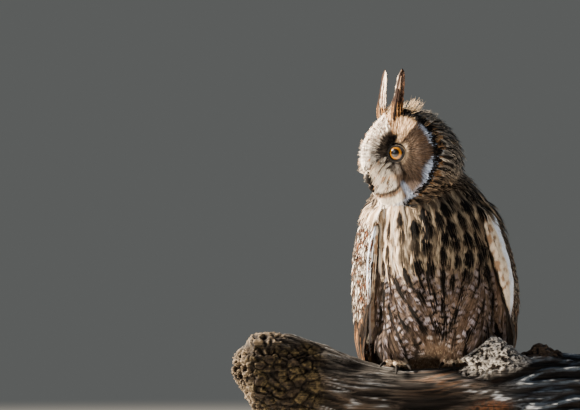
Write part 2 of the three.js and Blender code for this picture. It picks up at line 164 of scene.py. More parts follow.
def from_head(vectors, place=True):
    """Places, or with place=False directions, from the head's frame to the bird's."""
    c, s = math.cos(HEAD_TURN), math.sin(HEAD_TURN)
    x, y = vectors[..., 0], vectors[..., 1]
    moved = np.stack([c * x + s * y, -s * x + c * y, vectors[..., 2]], -1)
    return moved + np.array([FACE_X, FACE_Y, 0]) if place else moved


def off_middle(points):
    """How far to the bird's left of the middle of its leaning body each point is."""
    return points[..., 0] - LEAN * np.maximum(0, points[..., 2] - LEAN_START)


def linked(name, data):
    """A new object in the scene."""
    made = bpy.data.objects.new(name, data)
    bpy.context.scene.collection.objects.link(made)
    return made


def quad_object(name, points, quads, material, colours=None, maps=None):
    """A mesh object from points in mm above the feet and rows of four corners."""
    mesh = bpy.data.meshes.new(name)
    mesh.vertices.add(len(points))
    mesh.vertices.foreach_set("co", ((points + [0, 0, PERCH_LEVEL]) * MM).astype(np.float32).ravel())
    mesh.loops.add(quads.size)
    mesh.loops.foreach_set("vertex_index", quads.astype(np.int32).ravel())
    mesh.polygons.add(len(quads))
    mesh.polygons.foreach_set("loop_start", np.arange(0, quads.size, 4, dtype=np.int32))
    mesh.update(calc_edges=True)
    mesh.polygons.foreach_set("use_smooth", np.ones(len(quads), bool))
    if colours is not None:
        layer = mesh.color_attributes.new(name="Plumage", type="FLOAT_COLOR", domain="POINT")
        rgba = np.ones((len(points), 4), np.float32)
        rgba[:, :3] = np.clip(colours, 0, 1)
        layer.data.foreach_set("color", rgba.ravel())
    for title, uv in (maps or {}).items():
        layer = mesh.uv_layers.new(name=title)
        layer.data.foreach_set("uv", uv[quads.ravel()].astype(np.float32).ravel())
    mesh.materials.append(material)
    return linked(name, mesh)


def finished(piece, slot, *nodes):
    """Fixes a piece to the bird in place of these CAD nodes."""
    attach(piece, "root")
    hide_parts(*nodes)


# Camera and light

def camera_and_light():
    """The photo's view, level with the owl's shoulders. Low sun comes from a window at the left."""
    camera_data = bpy.data.cameras.new("camera")
    camera_data.sensor_width = SENSOR
    camera_data.lens = SENSOR * CAMERA_AWAY / (PHOTO_WIDTH * MM_PER_PIXEL)
    camera = linked("camera", camera_data)
    camera.location = (-0.133, -CAMERA_AWAY * MM, 0.2885)
    camera.rotation_euler = (math.radians(90), 0, 0)
    bpy.context.scene.camera = camera

    middle_of_bird = Vector((-0.03, -0.02, 0.28))
    # name, place and width in metres, colour, power in watts
    lamps = [
        ("sun_window", (-1.8, 0.35, 1.3), 0.5, "#ffeed8", 600),
        ("front_soft", (-1.9, -1.5, 0.9), 0.9, "#dce8fb", 11),
        ("sky_soft", (1.3, -0.7, 1.7), 1.4, "#dfe8f5", 9),
        ("back_soft", (1.0, 1.8, 1.2), 1.2, "#e9edf2", 14),
    ]
    for name, place, width, colour, power in lamps:
        data = bpy.data.lights.new(name, "AREA")
        data.shape = "SQUARE"
        data.size = width
        data.energy = power
        data.color = linear(colour)
        lamp = linked(name, data)
        lamp.location = place
        lamp.rotation_euler = (middle_of_bird - Vector(place)).to_track_quat("-Z", "Y").to_euler()

    world = bpy.data.worlds.new("grey_studio")
    world.use_nodes = True
    world.node_tree.nodes["Background"].inputs["Color"].default_value = (*linear("#5d5f5e"), 1)
    world.node_tree.nodes["Background"].inputs["Strength"].default_value = 1.0
    bpy.context.scene.world = world


def studio_floor():
    """Pale matt floor that fades out into the grey of the studio."""
    material, tree = open_finish("matt_floor")
    place = node(tree, "ShaderNodeTexCoord")
    away = node(tree, "ShaderNodeVectorMath", {0: place.outputs["Object"]}, operation="LENGTH")
    fade = node(tree, "ShaderNodeMapRange", {"Value": away.outputs["Value"], "From Min": 0.7, "From Max": 2.6},
                interpolation_type="SMOOTHSTEP")
    matt = node(tree, "ShaderNodeBsdfDiffuse", {"Color": "#d9d7d3"})
    clear = node(tree, "ShaderNodeBsdfTransparent")
    blend = node(tree, "ShaderNodeMixShader", {0: fade, 1: matt, 2: clear})
    node(tree, "ShaderNodeOutputMaterial", {"Surface": blend})
    rings, sides = 6, 48
    radii = np.linspace(0.02, 2.7, rings)
    angles = np.linspace(0, 2 * math.pi, sides, endpoint=False)
    points = [(r * math.cos(a), r * math.sin(a), 0) for r in radii for a in angles]
    ring_starts = range(0, (rings - 1) * sides, sides)
    faces = [(i + j, i + (j + 1) % sides, i + sides + (j + 1) % sides, i + sides + j)
             for i in ring_starts for j in range(sides)] + [tuple(range(sides))[::-1]]
    mesh = bpy.data.meshes.new("floor")
    mesh.from_pydata(points, [], faces)
    mesh.materials.append(material)
    linked("floor", mesh)


# The skin: one closed form inside the flesh solids

def joined(names):
    """The meshes of these CAD nodes as one list of points, in mm above the feet, faces and owners."""
    points, faces, owners = [], [], []
    count = 0
    for i, name in enumerate(names):
        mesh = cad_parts[name].data
        co = np.empty(len(mesh.vertices) * 3)
        mesh.vertices.foreach_get("co", co)
        points.append(co.reshape(-1, 3) / MM - [0, 0, PERCH_LEVEL])
        faces += [[count + v for v in face.vertices] for face in mesh.polygons]
        owners += [i] * len(mesh.polygons)
        count += len(mesh.vertices)
    return np.concatenate(points), faces, np.array(owners)


def remeshed(points, faces, voxel):
    """The same form as an even mesh of squares about this many mm wide."""
    mesh = bpy.data.meshes.new("rough")
    mesh.from_pydata(points.tolist(), [], faces)
    rough = linked("rough", mesh)
    modifier = rough.modifiers.new("even", "REMESH")
    modifier.mode = "VOXEL"
    modifier.voxel_size = voxel
    graph = bpy.context.evaluated_depsgraph_get()
    even = bpy.data.meshes.new_from_object(rough.evaluated_get(graph))
    co = np.empty(len(even.vertices) * 3)
    even.vertices.foreach_get("co", co)
    quads = np.array([face.vertices[:] if len(face.vertices) == 4 else (*face.vertices, face.vertices[2])
                      for face in even.polygons])
    bpy.data.objects.remove(rough)
    bpy.data.meshes.remove(mesh)
    bpy.data.meshes.remove(even)
    return co.reshape(-1, 3), quads


def neighbours(quads):
    """The edges between the corners of squares, each once."""
    edges = np.concatenate([quads[:, [0, 1]], quads[:, [1, 2]], quads[:, [2, 3]], quads[:, [3, 0]]])
    edges = np.unique(np.sort(edges, axis=1), axis=0)
    return edges[edges[:, 0] != edges[:, 1]]


def relaxed(values, edges, rounds, share=0.5):
    """Each row drawn towards the mean of its neighbours' rows."""
    count = np.bincount(edges.ravel(), minlength=len(values))[:, None]
    for _ in range(rounds):
        total = np.stack([
            np.bincount(edges[:, 0], values[edges[:, 1], k], len(values))
            + np.bincount(edges[:, 1], values[edges[:, 0], k], len(values)) for k in range(values.shape[1])
        ], 1)
        values = values + share * (total / np.maximum(count, 1) - values)
    return values


def normals_of(points, quads):
    a, b, c, d = (points[quads[:, k]] for k in range(4))
    face = np.cross(c - a, d - b)
    total = np.stack([sum(np.bincount(quads[:, k], face[:, axis], len(points)) for k in range(4))
                      for axis in range(3)], 1)
    return unit(total)


class Form:
    """A surface that roots, directions and colours are looked up on."""

    def __init__(self, points, quads):
        self.points, self.quads = points, quads
        self.normals = normals_of(points, quads)
        self.tree = BVHTree.FromPolygons(points.tolist(), quads.tolist())
        self.centres = points[quads].mean(1)
        self.face_normals = unit(self.normals[quads].mean(1))
        a, b, c, d = (points[quads[:, k]] for k in range(4))
        self.areas = np.linalg.norm(np.cross(c - a, d - b), axis=1) / 2

    def nearest(self, points):
        """The nearest place on the form for each point, and the form's direction outwards there."""
        found = [self.tree.find_nearest(p) for p in points.tolist()]
        places = np.array([f[0] for f in found])
        return places, self.face_normals[[f[2] for f in found]]


class Owners:
    """Which CAD node is nearest to a point."""

    def __init__(self, names):
        points, faces, self.owner = joined(names)
        self.tree = BVHTree.FromPolygons(points.tolist(), faces)

    def of(self, points):
        return self.owner[[self.tree.find_nearest(p)[2] for p in points.tolist()]]


# Along z: y of the middle of the face, y and x of the disc's rim, and y of the back, as in the solid.
head_at = through([
    [146, 20, 26, 14, 64], [150, 14, 28, 23, 76], [160, 9.5, 36, 33.5, 89], [170, 4.5, 43, 40, 95],
    [182, -1.5, 47, 43.5, 97], [194, -3, 48, 45, 95], [206, 0.5, 45.5, 44, 90], [217, 8.5, 41, 39.5, 82],
    [226, 17, 37, 32, 73], [232, 25, 34, 22, 63], [235.5, 34, 38, 9, 52],
])

# The leading edge, the side and the back edge of a folded wing in plan, and its thickness, along z.
wing_at = through([
    [-113, 17, 63, 15, 68, 11, 71, 4], [-100, 24, 56, 22, 65, 10, 72, 6], [-70, 37, 47, 35, 61, 9, 73, 8],
    [-34, 50, 30, 51, 46, 7, 72, 9], [-8, 58, 14, 60, 32, 6, 70, 11], [14, 61, -2, 67, 20, 8, 68, 13],
    [36, 59, -15, 71, 12, 8, 67, 15], [64, 58, -27, 71.5, 6, 9, 66, 17], [88, 56, -31, 70, 3, 11, 64, 17],
    [108, 53, -31, 67, 1, 14, 61, 16], [128, 49, -28, 62, 1, 18, 58, 14], [143, 44, -24, 57, 3, 22, 53, 11],
    [151, 41, -16, 52, 6, 27, 49, 7],
])
# mm from the middle to the widest place of a wing: as built, and as in the table above
WING_SIDE, TABLE_SIDE = 70, 71.5


def lean(points):
    """Upright points moved with the lean of the body."""
    moved = points.copy()
    moved[..., 0] += LEAN * np.maximum(0, points[..., 2] - LEAN_START)
    return moved


def wing_surface(z, across, side):
    """A place on the outside of a folded wing and the way out of it. across runs from 0 at the leading edge
    to 1 at the back edge."""
    edge_x, edge_y, side_x, side_y, back_x, back_y, thick = wing_at(z).T
    side_x = side_x * WING_SIDE / TABLE_SIDE
    knots = np.stack([
        np.stack([edge_x, edge_y], -1), np.stack([side_x, side_y], -1),
        np.stack([(side_x * 0.85 + back_x) / 2 + 6, (side_y + back_y) / 2 + 9], -1),
        np.stack([back_x, back_y], -1),
    ])
    first, last = 2 * knots[0] - knots[1], 2 * knots[3] - knots[2]
    line = np.concatenate([first[None], knots, last[None]])
    t = np.clip(across, 0, 1) * 3
    i = np.minimum(t.astype(int), 2)
    s = (t - i)[:, None]
    rows = np.arange(len(z))
    p0, p1, p2, p3 = (line[i + k, rows] for k in range(4))
    square, cube = 2 * p0 - 5 * p1 + 4 * p2 - p3, 3 * p1 - p0 - 3 * p2 + p3
    plan = 0.5 * (2 * p1 + (p2 - p0) * s + square * s ** 2 + cube * s ** 3)
    slope = 0.5 * ((p2 - p0) + 2 * square * s + 3 * cube * s ** 2)
    out = unit(np.stack([slope[:, 1], -slope[:, 0]], -1))
    half = thick / 2 * np.sqrt(np.sin(np.pi * (0.06 + 0.88 * np.clip(across, 0, 1))))
    plan = plan + out * half[:, None]
    outward = np.stack([out[:, 0] * side, out[:, 1], np.zeros(len(z))], -1)
    return lean(np.stack([plan[:, 0] * side, plan[:, 1], z], -1)), outward


def eye_frame(side):
    """Centre of an eyeball, and the directions out of the pupil, sideways and up, in the bird's frame."""
    centre = from_head(np.array([side * EYE_SPREAD, EYE_DEPTH, EYE_HEIGHT]))
    ahead = from_head(np.array([side * math.sin(EYE_OUTWARD), -math.cos(EYE_OUTWARD), 0]), place=False)
    up = np.array([0, 0, 1.0])
    return centre, ahead, unit(np.cross(ahead, up)), up


def lid_ring(side):
    """The rims of the lids, a rolled edge that lies on the eyeball, and how far out in it each point is."""
    centre, ahead, right, up = eye_frame(side)
    around, rows = 48, 9
    width = math.radians(24)
    points, share = [], []
    for i in range(around):
        angle = 2 * math.pi * i / around
        rise = math.sin(angle)
        begins = math.radians(LID_BOTTOM + (LID_TOP - LID_BOTTOM) * max(rise, 0) ** 1.5)
        spread = math.cos(angle) * right + rise * up
        for j in range(rows):
            t = j / (rows - 1)
            off = begins + width * t
            radius = EYE_RADIUS + 0.15 + 0.95 * math.sin(math.pi * min(t * 1.5, 1)) - 1.6 * max(t - 0.6, 0)
            points.append(centre + radius * (math.cos(off) * ahead + math.sin(off) * spread))
            share.append(t)
    index = np.arange(around * rows).reshape(around, rows)
    beside = np.roll(index, -1, axis=0)
    quads = np.stack([index[:, :-1], index[:, 1:], beside[:, 1:], beside[:, :-1]], -1).reshape(-1, 4)
    return np.array(points), quads, np.array(share)


def coat_depth(points, owner):
    """How far the skin lies under the outline of the coat, in mm."""
    depth = np.full(len(points), 5.0)
    name = np.array(FLESH)[owner]
    z = points[:, 2]
    trunk = (name == "trunk") | (name == "neck")
    depth[trunk] = 6.5
    depth[trunk & (z < 30)] = 4.5
    is_head = name == "head"
    depth[is_head] = 4.5
    depth[is_head & (to_head(points)[:, 1] < head_at(z)[:, 1] + 1)] = 2.2
    for side in (-1, 1):
        off_eye = smooth(10.5, 17, np.linalg.norm(points - eye_frame(side)[0], axis=1))
        depth = np.where(is_head, depth * off_eye, depth)
    for start, under in (("wing", 3.0), ("wing_quills", 2.2), ("tail", 1.4), ("ear", 3.2), ("leg", 1.8)):
        depth[np.char.startswith(name, start)] = under
    return depth


def build_form():
    """The skin, sunk under the flesh by the depth of the coat, and the CAD node that each point belongs to."""
    points, faces, _ = joined(FLESH)
    points, quads = remeshed(points, faces, VOXEL)
    edges = neighbours(quads)
    points = relaxed(points, edges, 3)
    envelope = Form(points, quads)
    owner = Owners(FLESH).of(points)
    inward = -envelope.normals
    thick = np.full(len(points), 60.0)
    for i, (p, d) in enumerate(zip((points + inward * 0.4).tolist(), inward.tolist())):
        hit = envelope.tree.ray_cast(p, d, 60)
        if hit[0] is not None:
            thick[i] = hit[3]
    depth = np.minimum(coat_depth(points, owner), 0.34 * thick)[:, None]
    inner = points + inward * relaxed(depth, edges, 4)
    return Form(relaxed(inner, edges, 2, 0.4), quads), owner


camera_and_light()
studio_floor()
form, vertex_owner = build_form()
FACE_OWNER = np.array(FLESH)[vertex_owner[form.quads[:, 0]]]


# Roots, paths and tufts

def scatter(chosen, spacing, seed):
    """Roots about this many mm apart on the chosen faces of the skin, and the way out of it there."""
    rng = np.random.default_rng(seed)
    faces = np.nonzero(chosen)[0]
    spacing = np.broadcast_to(spacing, len(chosen))[faces]
    count = rng.poisson(form.areas[faces] / spacing ** 2 * 2.6)
    pick = np.repeat(np.arange(len(faces)), count)
    rng.shuffle(pick)
    corners = form.points[form.quads[faces[pick]]]
    s, t = rng.random((2, len(pick), 1))
    places = ((corners[:, 0] * (1 - s) + corners[:, 1] * s) * (1 - t)
              + (corners[:, 3] * (1 - s) + corners[:, 2] * s) * t)
    clear = spacing[pick] * 0.8
    keys = np.floor(places / clear.max()).astype(int).tolist()
    around = [(a, b, c) for a in (-1, 0, 1) for b in (-1, 0, 1) for c in (-1, 0, 1)]
    taken, kept = {}, []
    for i, ((x, y, z), (kx, ky, kz), near) in enumerate(zip(places.tolist(), keys, (clear ** 2).tolist())):
        if all((x - q[0]) ** 2 + (y - q[1]) ** 2 + (z - q[2]) ** 2 >= near
               for a, b, c in around for q in taken.get((kx + a, ky + b, kz + c), ())):
            taken.setdefault((kx, ky, kz), []).append((x, y, z))
            kept.append(i)
    return places[kept], form.face_normals[faces[pick[kept]]]


def levelled(heading, normals):
    """Headings laid flat on the skin."""
    return unit(heading - normals * (heading * normals).sum(1, keepdims=True))


def follow(places, lie, length, steps):
    """The path of each feather over the skin from its root, and the skin's direction outwards along it."""
    path, out = [], []
    step = (np.broadcast_to(length, len(places)) / steps)[:, None]
    heading = None
    for _ in range(steps + 1):
        places, normals = form.nearest(places)
        if out:
            normals = unit(normals + out[-1])
        path.append(places)
        out.append(normals)
        wanted = unit(lie(places, normals))
        heading = wanted if heading is None else unit(heading + wanted)
        places = places + levelled(heading, normals) * step
    return np.stack(path, 1), np.stack(out, 1)


def free(places, normals, heading, length, rise, bend, steps=4):
    """Paths of bristles that stand free of the skin: they rise from the root and then bend back."""
    level = levelled(heading, normals)
    length = np.broadcast_to(length, len(places))[:, None]
    path = [places + length * t * (level + normals * (rise - bend * t)) for t in np.linspace(0, 1, steps + 1)]
    return np.stack(path, 1), np.repeat(normals[:, None], steps + 1, 1)


def from_front(x, z):
    """The places on the skin that lie at these x and z when the bird is seen from the front."""
    hits = [form.tree.ray_cast(Vector((a, -150, b)), Vector((0, 1, 0)))[0] for a, b in zip(x, z)]
    return np.array([tuple(hit) if hit is not None else (a, 0, b) for hit, a, b in zip(hits, x, z)])


def along(track, t):
    """Values of each track of rows at t from 0 to 1."""
    last = track.shape[1] - 1
    i = np.clip((t * last).astype(int), 0, last - 1)
    s = (t * last - i)[..., None]
    rows = np.arange(len(track)).reshape(-1, *([1] * (t.ndim - 1)))
    return track[rows, i] * (1 - s) + track[rows, i + 1] * s


def column(value, count):
    """A value for each feather, shaped to go with its locks and rows."""
    return np.broadcast_to(np.asarray(value, float), count).reshape(-1, 1, 1)


def tufts(path, out, length, width, lift, locks, rows, paint, seed, fan=0.35, rounded=0.3, arch=0.5,
          loose=0.12, curl=0.0, slim=0.62, hold=0.25, taper=2.6, split=1.0, uneven=0.07):
    """Feathers as fans of narrow locks of barbs. Each lock runs from the root to its own tip.

    paint gives the colours from the place across the feather, the place along it and the feather's points.
    fan is the width at the root as a share of the whole, rounded the share that the outer locks are shorter,
    arch the angle that they roll down, slim the half width of a lock as a share of the gap between locks and
    hold the height of the root over the skin. With a small split the locks lie close, like the web of a
    feather, and part only at its tip.
    """
    rng = np.random.default_rng(seed)
    n = len(path)
    width, lift, length = column(width, n), column(lift, n), column(length, n)
    across = np.linspace(-1, 1, locks)[None, :, None] + rng.normal(0, 0.3 * split / locks, (n, locks, 1))
    own = np.linspace(0, 1, rows + 1)[None, None, :]
    reach = np.clip(1 - rounded * across ** 2 + rng.normal(0, 0.06, (n, locks, 1)), 0.3, 1.12)
    t = np.clip(own * reach, 0, 1)
    normal = unit(along(out, t))
    ahead = unit(along(np.gradient(path, axis=1), t))
    side = unit(np.cross(ahead, normal))
    spread = fan + (1 - fan) * smooth(0, 0.7, t)
    height = (hold + lift * (t ** 0.75 + curl * t ** 4) - 0.09 * width * across ** 2 * spread
              + lift * loose * rng.normal(0, 1, (n, locks, 1)) * t ** (3 - 2 * split))
    sway = rng.normal(0, loose * 0.6, (n, locks, 1)) * width / 2 * t ** 2
    centre = along(path, t) + (own * reach - t)[..., None] * ahead * length[..., None]
    centre = centre + side * (across * width / 2 * spread + sway)[..., None]
    centre = centre + normal * np.maximum(height, 0.1)[..., None]
    roll = arch * across + rng.normal(0, 0.25 * split, (n, locks, 1))
    flat = side * np.cos(roll)[..., None] - normal * np.sin(roll)[..., None]
    half = width / (locks - 1) * slim * (1 - 0.9 * own ** taper) * (0.6 + 0.4 * smooth(0, 0.2, own)) * spread
    points = np.stack([centre - flat * half[..., None], centre + flat * half[..., None]], 3)
    grid = points.shape[:-1]
    own = own[..., None]
    j = np.broadcast_to(across[..., None] + np.array([-1, 1]) / (locks - 1) * (1 - own ** 2), grid)
    t = np.broadcast_to(t[..., None], grid)
    shade = 1 + rng.normal(0, 0.07, (n, 1, 1, 1)) + rng.normal(0, uneven, (n, locks, 1, 1))
    # painted shade: each lock is darker towards its root, where the feathers over it shade it
    painted_root_shade = 0.62 + 0.38 * smooth(0, 0.55, t)
    colours = paint(j, t, points) * (np.clip(shade, 0.6, 1.4) * painted_root_shade)[..., None]
    lengthwise = t * length[..., None] + rng.uniform(0, 60, (n, locks, 1, 1))
    vane = np.stack([j * width[..., None] / 2, lengthwise], -1)
    patch = np.stack([np.broadcast_to([0.0, 1.0], grid), np.broadcast_to(own, grid)], -1)
    index = np.arange(j.size).reshape(grid)
    corners = [index[..., :-1, 0], index[..., :-1, 1], index[..., 1:, 1], index[..., 1:, 0]]
    return {
        "points": points.reshape(-1, 3), "quads": np.stack(corners, -1).reshape(-1, 4),
        "colours": colours.reshape(-1, 3), "vane": vane.reshape(-1, 2),
        "patch": patch.reshape(n * locks, -1, 2),
        "roots": np.repeat(path[:, 0], locks, 0) + side[:, :, 0].reshape(-1, 3) * across.reshape(-1, 1),
    }


GRID = 330   # the bake map is a grid of this many cells each way, one for each lock


def own_cells(wanted):
    """A free cell for each lock, as near as can be to the one that it asks for."""
    wanted = np.clip((wanted * GRID).astype(int), 0, GRID - 1)
    cells = np.zeros((len(wanted), 2), int)
    taken = np.zeros((GRID, GRID), bool)
    left = np.arange(len(wanted))
    reach = 70
    offsets = sorted(((a, b) for a in range(-reach, reach + 1) for b in range(-reach, reach + 1)),
                     key=lambda o: (o[0] ** 2 + o[1] ** 2, o))
    for offset in offsets:
        spot = wanted[left] + offset
        inside = ((spot >= 0) & (spot < GRID)).all(1)
        free_spot = np.zeros(len(left), bool)
        free_spot[inside] = ~taken[spot[inside, 0], spot[inside, 1]]
        rows = np.nonzero(free_spot)[0]
        _, first = np.unique(spot[rows, 0] * GRID + spot[rows, 1], return_index=True)
        rows = rows[first]
        cells[left[rows]] = spot[rows]
        taken[spot[rows, 0], spot[rows, 1]] = True
        left = np.delete(left, rows)
        if not len(left):
            break
    return cells


def feather_object(name, groups, cells, grid, margin, material, nodes):
    """Joins groups of feathers into one object. Each row of cells is the place that a lock or a long feather
    has to itself in the bake map, of grid cells each way."""
    starts = np.cumsum([0] + [len(group["points"]) for group in groups])
    quads = np.concatenate([group["quads"] + start for group, start in zip(groups, starts)])
    corners, first = [], 0
    for group in groups:
        own = cells[first:first + len(group["patch"])][:, None]
        corners.append(((own + margin + (1 - 2 * margin) * group["patch"]) / grid).reshape(-1, 2))
        first += len(group["patch"])
    whole = {key: np.concatenate([group[key] for group in groups]) for key in ("points", "colours", "vane")}
    maps = {"OFBake": np.concatenate(corners), "Vane": whole["vane"]}
    piece = quad_object(name, whole["points"], quads, material, whole["colours"], maps)
    finished(piece, "plumage", *nodes)


def coat_piece(name, groups, chart, material, *nodes):
    """One piece of the coat. chart lays the roots of its locks out flat for the bake map."""
    flat = np.concatenate([chart(group["roots"]) for group in groups])
    low, high = flat.min(0), flat.max(0)
    cells = own_cells(0.01 + 0.98 * (flat - low) / (high - low))
    feather_object(name, groups, cells, GRID, 0.08, material, nodes)


def vane_piece(name, groups, material, *nodes):
    """One piece of long feathers. Their cells in the bake map are three times as high as wide."""
    total = sum(len(group["patch"]) for group in groups)
    across = max(1, math.ceil(math.sqrt(total / 3)))
    down = math.ceil(total / across)
    number = np.arange(total)
    cells = np.stack([number % across, number // across], 1)
    feather_object(name, groups, cells, [across, down], 0.04, material, nodes)


# Finishes of the plumage

def feather_finish(name, barb, depth, sheen):
    """Keratin barbs lying side by side: matt, a little silky along the barbs, never quite even in tone.

    barb is the distance from barb to barb in mm, drawn coarser than life so that it shows.
    """
    material, tree = open_finish(name)
    tone = node(tree, "ShaderNodeAttribute", attribute_name="Plumage")
    lie = node(tree, "ShaderNodeUVMap", uv_map="Vane")
    parts = node(tree, "ShaderNodeSeparateXYZ", {0: lie})
    outward = node(tree, "ShaderNodeMath", {0: parts.outputs["X"]}, operation="ABSOLUTE")
    slant = node(tree, "ShaderNodeMath", {0: outward, 1: -0.9, 2: parts.outputs["Y"]}, operation="MULTIPLY_ADD")
    ridge = node(tree, "ShaderNodeMath", {0: slant, 1: 2 * math.pi / barb}, operation="MULTIPLY")
    wave = node(tree, "ShaderNodeMath", {0: ridge}, operation="SINE")
    ragged = node(tree, "ShaderNodeTexNoise", {"Vector": lie, "Scale": 1.4, "Detail": 3.0})
    mottle = node(tree, "ShaderNodeMapRange", {"Value": ragged, "From Min": 0.3, "From Max": 0.7,
                                               "To Min": 0.8, "To Max": 1.16})
    lines = node(tree, "ShaderNodeMapRange", {"Value": wave, "From Min": -1.0, "From Max": 1.0,
                                              "To Min": 0.9, "To Max": 1.06})
    both = node(tree, "ShaderNodeMath", {0: mottle, 1: lines}, operation="MULTIPLY")
    colour = node(tree, "ShaderNodeVectorMath", {0: tone, 1: both}, operation="MULTIPLY")
    bump = node(tree, "ShaderNodeBump", {"Height": wave, "Strength": depth, "Distance": 0.0002})
    surface = node(tree, "ShaderNodeBsdfPrincipled", {
        "Base Color": colour, "Roughness": 0.85, "IOR": 1.54, "Specular IOR Level": 0.05,
        "Sheen Weight": sheen, "Sheen Roughness": 0.5, "Normal": bump,
    })
    node(tree, "ShaderNodeOutputMaterial", {"Surface": surface})
    return material


def marks(own):
    """Paints contour feathers. own holds each feather's colours and the sizes of its marks.

    Sizes across are shares of the half width, sizes along are shares of the length.
    """
    def each(key):
        value = np.asarray(own[key], float)
        return value.reshape(-1, 1, 1, 1) if value.ndim else value

    def tone(key):
        value = np.asarray(own[key], float)
        return value.reshape(-1, 1, 1, 1, 3) if value.ndim > 1 else value

    def paint(j, t, points):
        away = np.abs(j)
        phase = each("phase")
        ripple = np.sin(t * 23 + phase * 40 + j * 3)
        barb = np.sin(j * 43 + phase * 50) * np.sin(j * 17 + phase * 21)
        # the ground, paler at its edges, and its flecks
        colour = mix(tone("ground"), tone("edge"), smooth(0.3, 0.9, away) * each("edging"))
        grain = np.sin(t * 37 + j * 5 + phase * 9) * np.sin(j * 11 + t * 13)
        colour = lay(colour, tone("ground") * 0.55, each("flecks") * smooth(0.1, 0.8, grain))
        # bars across, and pale spots in the gaps between them
        round_bars = np.cos(2 * math.pi * ((t + 0.09 * away + 0.012 * ripple) * each("bars") + phase))
        bar = smooth(0.45, 0.75, round_bars + 0.25 * barb) * each("barring")
        colour = lay(colour, tone("dark"), bar * (smooth(0.2, 0.4, t) * smooth(1.15, 0.75, away)))
        gap = smooth(0.5, -0.3, round_bars)
        past_root = smooth(each("spot_at") - 0.25, each("spot_at"), t)
        spot = smooth(0.3, 0.62, bell(away, 0.66, 0.5) * gap * past_root)
        spot = spot * smooth(-0.5, 0.2, np.sin(2.3 * j + 9 * t + phase * 40) + 0.4 * barb) * each("spots")
        colour = lay(colour, tone("spot"), spot)
        # the dark streak down the shaft, ragged along the barbs
        at_root, at_tip = each("streak_root"), each("streak_tip")
        reach = at_root + (at_tip - at_root) * smooth(0.15, 0.5 + 0.1 * barb, t)
        end = each("streak_end") + 0.09 * barb
        reach = reach * (1 - smooth(end, end + 0.08, t)) * (1 + 0.16 * ripple + 0.35 * barb)
        streak = (1 - smooth(0.7, 1.25, away / np.maximum(reach, 1e-3))) * each("streaking")
        colour = lay(colour, tone("dark"), streak)
        return mix(colour, tone("tip"), smooth(0.86, 1.0, t) * each("tipping"))
    return paint


def blend_looks(first, second, share):
    """A look between two others, by each feather's share of the second."""
    made = {}
    for key in first:
        a, b = first[key], second[key]
        made[key] = a + (b - a) * (share[:, None] if a.ndim == 2 else share)
    return made


WHITE, CREAM, BUFF = linear("#f3ede4"), linear("#e6d3b8"), linear("#cfa377")
BLACK, FROST = linear("#17110e"), linear("#d2d9e4")


def look(ground, edge, dark=BLACK, spot=WHITE, tip=CREAM, **sizes):
    """The colours of one kind of feather and the sizes of its marks."""
    colours = {"ground": ground, "edge": edge, "dark": dark, "spot": spot, "tip": tip}
    made = {key: linear(colour) for key, colour in colours.items()}
    made.update({"edging": 0.7, "spots": 0.0, "spot_at": 0.7, "bars": 4.0, "barring": 0.0, "phase": 0.0,
                 "streak_root": 0.15, "streak_tip": 0.2, "streak_end": 0.96, "streaking": 1.0, "tipping": 0.3,
                 "flecks": 0.0})
    made.update(sizes)
    return made


# Looks of the plumage by region

BREAST = look("#8e7d68", "#b9a88e", dark="#060505", streak_root=0.0, streak_tip=0.66, streak_end=0.88,
              tipping=0.1, edging=0.6)
BREAST_SIDE = look("#c0a78a", WHITE, dark="#1a120c", streak_root=0.1, streak_tip=0.4, streak_end=0.9)
BELLY = look("#6b5b4e", "#80706a", dark="#080605", spot="#8f8b96", streak_root=0.3, streak_tip=0.3,
             streak_end=1.1, spots=1.0, spot_at=0.3, bars=4.0, barring=1.3, tipping=0.0, flecks=1.0)
VENT = look("#4d3e32", "#7a6553", streaking=0.0, edging=0.6, tipping=0.3)
LEG = look("#c4b29c", "#e4d8c6", streaking=0.0, edging=0.6, tipping=0.5)
BRISTLE = look("#e6dccd", WHITE, dark="#4a4038", streaking=0.0, tipping=0.0)
RUFF = look("#0d0b0a", "#0d0b0a", streaking=0.0, tipping=0.0, edging=0.2)
WISP = look("#8b7357", "#d9c3a1", tip="#ead9bd", streak_root=0.5, streak_tip=0.1, streak_end=0.7, tipping=0.8)
CROWN = look("#5b5955", "#9b958e", dark="#100e0d", tip="#d6c8b4", streak_root=0.32, streak_tip=0.5, bars=6.0,
             barring=0.5, edging=0.8, tipping=0.8, flecks=0.8)
NAPE = look("#5c4d3f", "#93806a", dark="#13100e", tip="#b99c78", streak_root=0.36, streak_tip=0.6, bars=6.0,
            barring=0.4, edging=0.8, tipping=0.4, flecks=0.6)
MANTLE = look("#483a2e", "#7a6248", dark="#120e0b", streak_root=0.4, streak_tip=0.6, bars=6.0, barring=0.5,
              spots=0.35, spot_at=0.8, tipping=0.2, flecks=0.6)
COVERT = look("#3a2b20", "#a17a54", dark="#120d0a", spot="#efe6da", streak_root=0.2, streak_tip=0.4, bars=5.0,
              barring=0.8, spots=0.5, spot_at=0.6, tipping=0.3, flecks=1.3)
STRIPE = look("#d3c6b3", "#e6ddcf", tip="#cfae84", streaking=0.0, tipping=0.1, edging=0.4)
# The lining of a folded wing where it faces the body, painted dark as shade.
LINING_IN_SHADE = look("#2b2019", "#54402f", dark="#0e0a08", streak_root=0.1, streak_tip=0.15, streaking=0.4,
              tipping=0.1)


def spread_out(base, n, rng, amount):
    """One look for n feathers, each a little lighter or darker and with its bars shifted."""
    made = {}
    for key, value in base.items():
        if np.ndim(value):
            made[key] = np.clip(value * (1 + rng.normal(0, amount, (n, 1))), 0, 1)
        else:
            made[key] = np.full(n, value, float)
    made["phase"] = rng.uniform(0, 1, n)
    return made


# The lie of the coat

def cornea(side):
    """The middle of the front of an eye."""
    centre, ahead, _, _ = eye_frame(side)
    return centre + ahead * EYE_RADIUS


